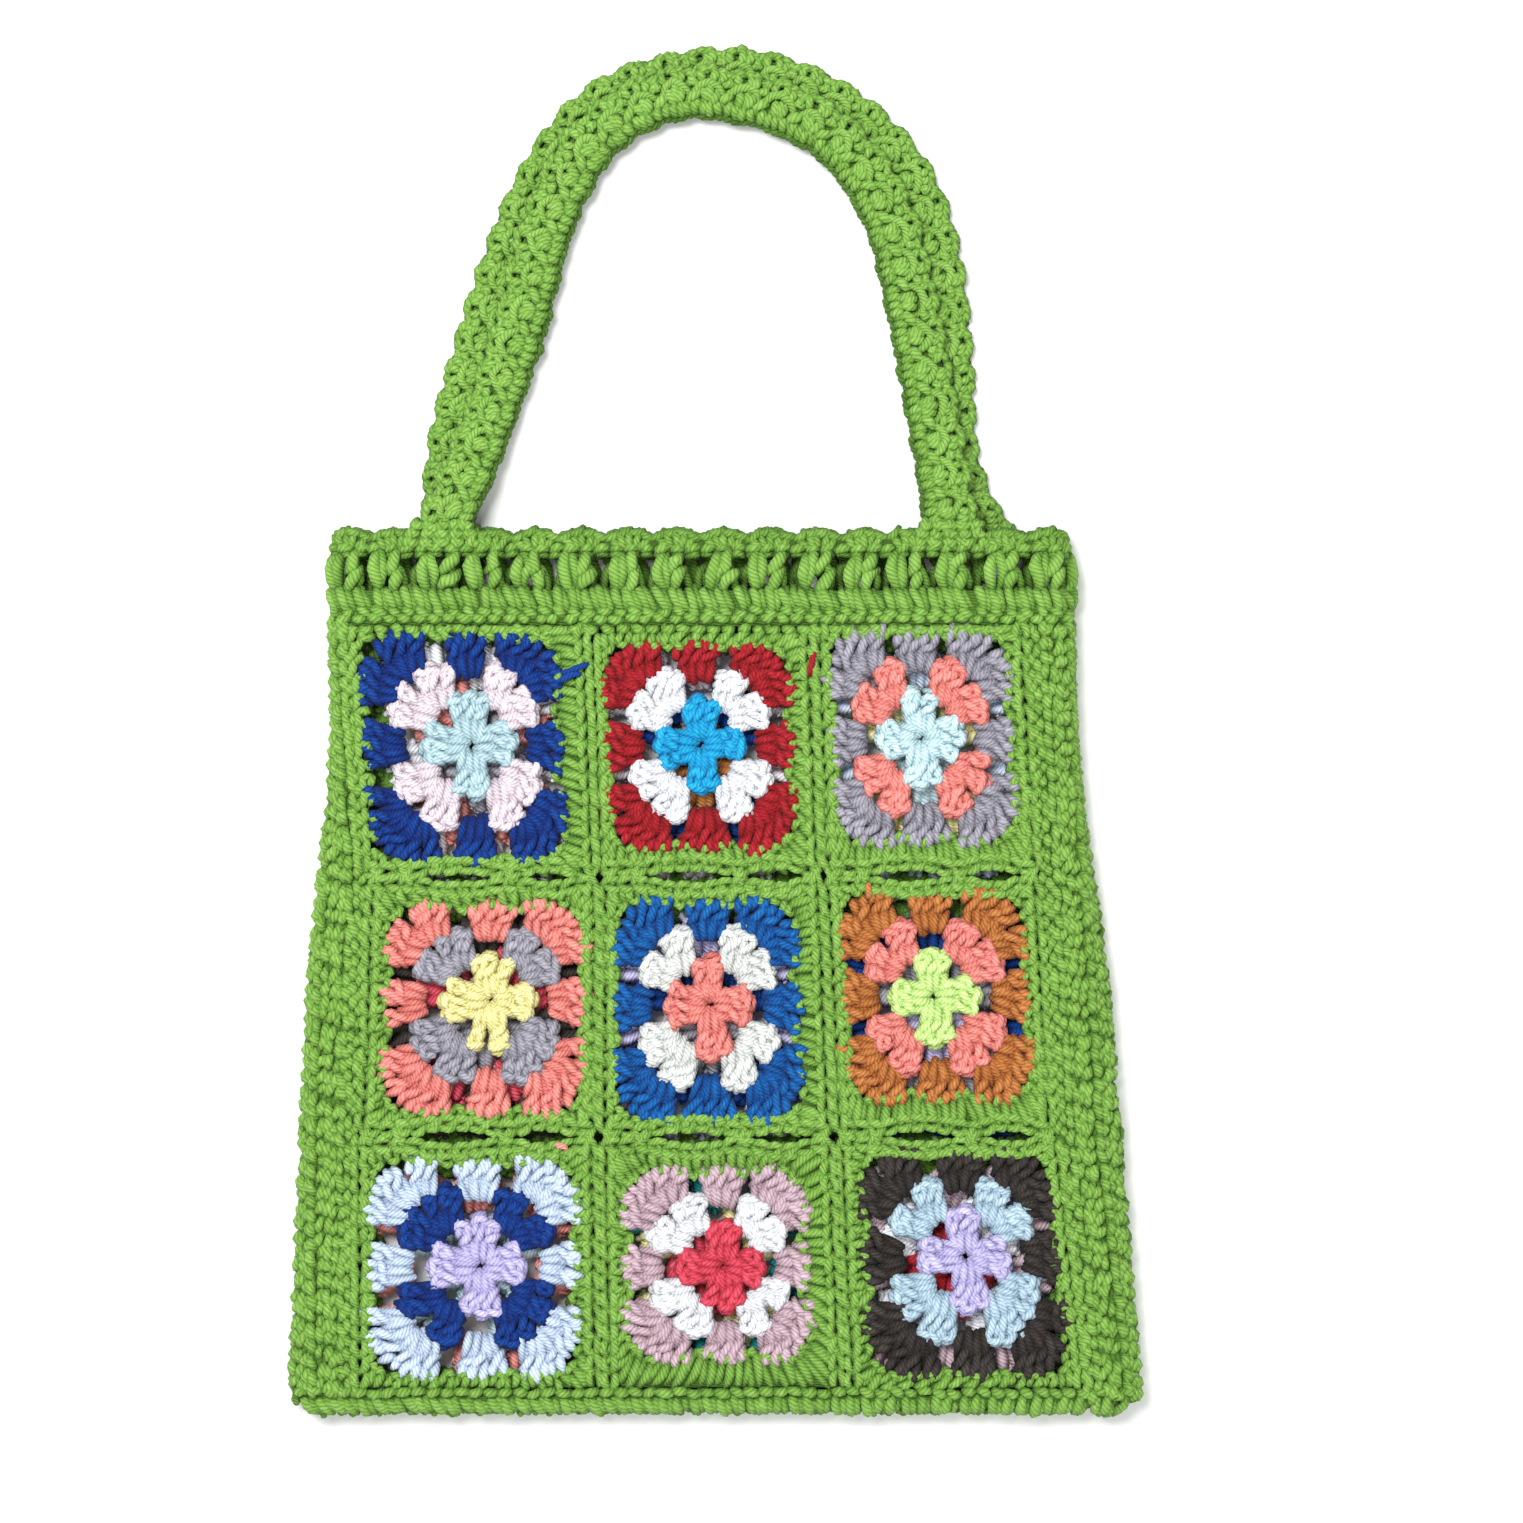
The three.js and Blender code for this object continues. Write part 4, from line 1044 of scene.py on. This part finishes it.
def handle_surface(handle):
    """The middle of a handle's cloth by distance along it and out from its middle line. Near its feet
    its rows turn to lie along the rim, and from them it comes down to its rest."""
    across, up = np.array(handle["route"], float).T
    points = np.stack([handle["middle"] + across * handle["spread"] / 2,
                       HANDLE["start"] + up * handle["rise"]], axis=1)
    line = centripetal(points)
    step = np.linalg.norm(np.diff(line, axis=0), axis=1)
    reached = np.concatenate([[0], np.cumsum(step)])
    length = reached[-1]

    def smooth(value):
        """From 0 to 1 along the cubic that is level at both ends."""
        value = np.clip(value, 0, 1)
        return value * value * (3 - 2 * value)

    def at(distance):
        """The point of the middle line at a distance along it."""
        return np.stack([np.interp(distance, reached, line[:, k]) for k in (0, 1)], -1)

    def surface(distance, out):
        distance, out = np.broadcast_arrays(np.asarray(distance, float), out)
        ahead, behind = (at(np.clip(distance + step, 0, length)) for step in (AHEAD, -AHEAD))
        ahead = unit(ahead - behind)
        foot = np.minimum(distance, length - distance)
        along_rim = np.stack([np.where(distance < length / 2, -1.0, 1.0), 0 * distance], -1)
        square = np.stack([-ahead[..., 1], ahead[..., 0]], -1)
        turned = smooth(foot / TURN)[..., None]
        outward = unit(along_rim * (1 - turned) + square * turned)
        down = smooth(foot / DROP)
        z = handle["foot"] * (1 - down) + handle["rest"] * down + HANDLE["thickness"] / 2
        flat = at(distance) + outward * out[..., None]
        return np.concatenate([flat, z[..., None]], -1) + ORIGIN, np.broadcast_to(FRONT, (*z.shape, 3))

    return surface, length


FAN_STRAND = [(0.0, -0.06, 0.0, 0.9), (0.24, 0.3, 1.3, 1.3), (0.26, 0.66, 1.2, 1.3),
              (0.0, 1.0, -0.6, 0.9)]
KNOT_LINK = [(-0.5, 0.1, -0.8, 0.8), (-0.2, 0.35, 0.6, 1.05), (0.2, 0.7, 0.6, 1.05),
             (0.5, 0.9, -0.8, 0.8)]
COLUMN_KNOT = [[(-0.3, 0.0, -0.4, 0.9), (-0.1, 0.3, 1.4, 1.5), (0.12, 0.66, 1.4, 1.5),
                (0.3, 1.0, -0.4, 0.9)]]
ARCH = [(0.0, 0.0, 0.2, 0.9), (-0.50, 0.10, 1.3, 1.2), (-0.80, 0.5, 1.7, 1.3),
        (-0.50, 0.90, 1.3, 1.2), (0.0, 1.0, 0.2, 0.9)]
INNER_STRAND = [(0.0, 0.0, 0.6, 1.0), (0.1, 0.5, 1.5, 1.5), (0.0, 1.0, 0.2, 1.0)]
SCALLOP_STRAND = [(0.0, 0.0, 0.2, 1.0), (0.25, 0.45, 0.9, 1.4), (0.1, 1.02, 0.1, 1.2)]
FAN_KNOT = [(-0.50, 0.90, -0.8, 0.8), (-0.16, 1.04, 0.7, 1.3), (0.18, 1.05, 0.7, 1.3),
            (0.50, 0.86, -0.8, 0.8)]
OUTER_FAN = {"strands": (-2, -1, 0, 1, 2), "edge": HANDLE["half"] + HANDLE["outer"],
             "tips": (-0.0050, -0.0035, -0.0030, -0.0035, -0.0050), "base": 0.0034,
             "base_step": 0.0020, "tip_step": 0.0029, "width": 0.0046}
INNER_FAN = {"strands": (-1, 0, 1), "edge": 0.0, "tips": (0.0014, 0.0026, 0.0014),
             "base": -0.0044, "base_step": 0.0010, "tip_step": 0.0030, "width": 0.0044}
SCALLOP_FAN = {"strands": (-1.5, -0.5, 0.5, 1.5), "edge": -HANDLE["half"] - HANDLE["inner"],
               "tips": (0.00215, 0.00165, 0.00165, 0.00215), "base": -0.0042,
               "base_step": 0.0029, "tip_step": 0.0032, "width": 0.004}
ARCHES = {"reach": 0.44, "out": -0.0034, "width": 0.0092}  # the reach is a share of the pitch
COLUMN = {"from": -0.0008, "to": 0.0012, "inner": -0.0048, "outer": 0.0002, "width": 0.0056}
EDGE_SINK = 1.5  # radii of yarn by which the chains of its edges lie lower than the rim's
LOW_LINK = [(across, along, up - EDGE_SINK, thick) for across, along, up, thick in EDGE_LINK]
CHAINS = [
    {"out": HANDLE["half"] - 0.0034, "wave": HANDLE["outer"], "width": 0.0045,
     "link": mirrored(LOW_LINK)},
    {"out": 0.0012 - HANDLE["half"], "wave": -HANDLE["inner"], "width": 0.0042, "link": LOW_LINK},
    {"out": -0.0050, "wave": 0.0008, "width": 0.0050, "link": KNOT_LINK},
]
HANDLE_BACKING = {"inner": 0.001, "outer": 0.003, "thickness": 0.0014}
FOOT = {"from": 0.3325, "to": 0.3425, "reach": 0.0125, "rows": 3, "stitches": 5,
        "height": 0.0046, "narrowing": 0.12}


def handle_band(handle):
    """All the stitches of one handle, and the backing under them."""
    surface, length = handle_surface(handle)
    shells = round(length / HANDLE["pitch"])
    pitch = length / shells
    centre = (np.arange(shells) + 0.5) * pitch

    def across(start, start_out, end, end_out, width):
        """Places of stitches from one distance along the handle and out from its middle to another."""
        base, normals = surface(np.clip(start, 0, length), start_out)
        top = surface(np.clip(end, 0, length), end_out)[0]
        return places(base, top, width, normals, LEAN["handle"])

    def fan(table):
        """The number and the places of each strand of a fan, for all the shells of the handle. The
        strands stand apart by the steps, and their tips lie at their own distances from an edge."""
        for k, tip in zip(table["strands"], table["tips"]):
            yield k, across(centre + k * table["base_step"], table["base"],
                            centre + k * table["tip_step"], table["edge"] + tip, table["width"])

    made = []
    for k, at in fan(OUTER_FAN):
        bowed = [(aside * k, *rest) for aside, *rest in FAN_STRAND] if k else FAN_STRAND
        made += knots(at, [bowed, FAN_KNOT])
    for k, at in fan(INNER_FAN):
        made += knots(at, [INNER_STRAND])
    reach = pitch * ARCHES["reach"]
    at = across(centre - reach, ARCHES["out"], centre + reach, ARCHES["out"], ARCHES["width"])
    made += knots(at, [ARCH], steps=6)
    start = centre + pitch / 2
    at = across(start + COLUMN["from"], COLUMN["inner"], start + COLUMN["to"], COLUMN["outer"],
                COLUMN["width"])
    made += knots(at, COLUMN_KNOT)
    for k, at in fan(SCALLOP_FAN):
        made += knots(at, [SCALLOP_STRAND])
    along = np.linspace(0, length, shells * SCALLOP_LINKS + 1)
    scallop = np.abs(np.sin(along / pitch * math.pi))
    for row in CHAINS:
        line = surface(along, row["out"] + row["wave"] * scallop)[0]
        made += knots(places(line[:-1], line[1:], row["width"], FRONT), [row["link"]])

    def backing(s, t):
        """The cloth under the stitches."""
        low, high = HANDLE_BACKING["inner"] - HANDLE["half"], HANDLE["half"] - HANDLE_BACKING["outer"]
        return surface(s * length, low + (high - low) * t)

    made.append(slab(backing, across=4, along=80, thickness=HANDLE_BACKING["thickness"]))
    for side in (-1, 1):
        middle = handle["middle"] + side * handle["spread"] / 2
        row, along = np.divmod(np.arange(FOOT["rows"] * FOOT["stitches"]), FOOT["stitches"])
        spread = (along / (FOOT["stitches"] - 1) * 2 - 1) * FOOT["reach"]
        x = middle + spread * (1 - FOOT["narrowing"] * row)
        y = FOOT["from"] + (FOOT["to"] - FOOT["from"]) * row / FOOT["rows"]
        z = np.full(len(x), handle["foot"] + HANDLE["thickness"] / 2)
        low = np.stack([x, y, z], -1) + ORIGIN
        made += knots(places(low, low + (0, FOOT["height"], 0), STITCH, FRONT), LIGHT_KNOT + [LEFT_LEG])
    return made


for panel, handle in HANDLES.items():
    make_piece(f"{panel}_shell_handle", handle_band(handle), "green", f"{panel}_handle")

# Back panel
# The back panel is made of granny squares too, and shows through the openings of the front. Its
# good side faces down.
BACK_SQUARES = [dict(zip(SQUARE_COLUMNS, row)) for row in (
    ("top_left", "grey", "coral", "white"),
    ("top_middle", "caramel", "navy", "pale_pink"),
    ("top_right", "aqua", "yellow", "pale_blue"),
    ("middle_left", "grey", "rose", "charcoal"),
    ("middle", "grey", "navy", "lilac"),
    ("middle_right", "lilac", "grey", "navy"),
    ("bottom_left", "aqua", "aqua", "coral"),
    ("bottom_middle", "rose", "yellow", "teal"),
    ("bottom_right", "brick_red", "white", "mauve"),
)]
BACK_LEVEL = 0.0040
INSIDE = {"sides": 4, "deep": -0.25}  # painted light: what shows through the front is painted a little lighter in its depth
EVEN = {"middle": (0.0, 0.0), "left": REACH, "right": REACH, "low": REACH, "high": REACH}
BACK_ROUNDS = {"flower": (FLOWER, PETAL_WIDTH), "second": (SECOND, BLOCK_WIDTH),
               "third": (THIRD, FAN_WIDTH)}
for square in BACK_SQUARES:
    name = square["name"]
    corners = square_corners(f"back_{name}_square")
    for part, (table, width) in BACK_ROUNDS.items():
        at = fans(corners, table, BACK_LEVEL, width, EVEN, up=BACK)
        cluster = [strands(at, path, steps=2, **INSIDE) for path in POST + [FILLING]]
        if part != "third":
            cluster.append(strands(at, FRONT_LOOP, steps=3, **INSIDE))
        make_piece(f"back_{part}_{name}", cluster, square[part])
    made = green_round(corners, BACK_LEVEL, level_seams(name), EVEN, BACK)
    make_piece(f"back_green_round_{name}", made, "green", f"back_{name}_square")
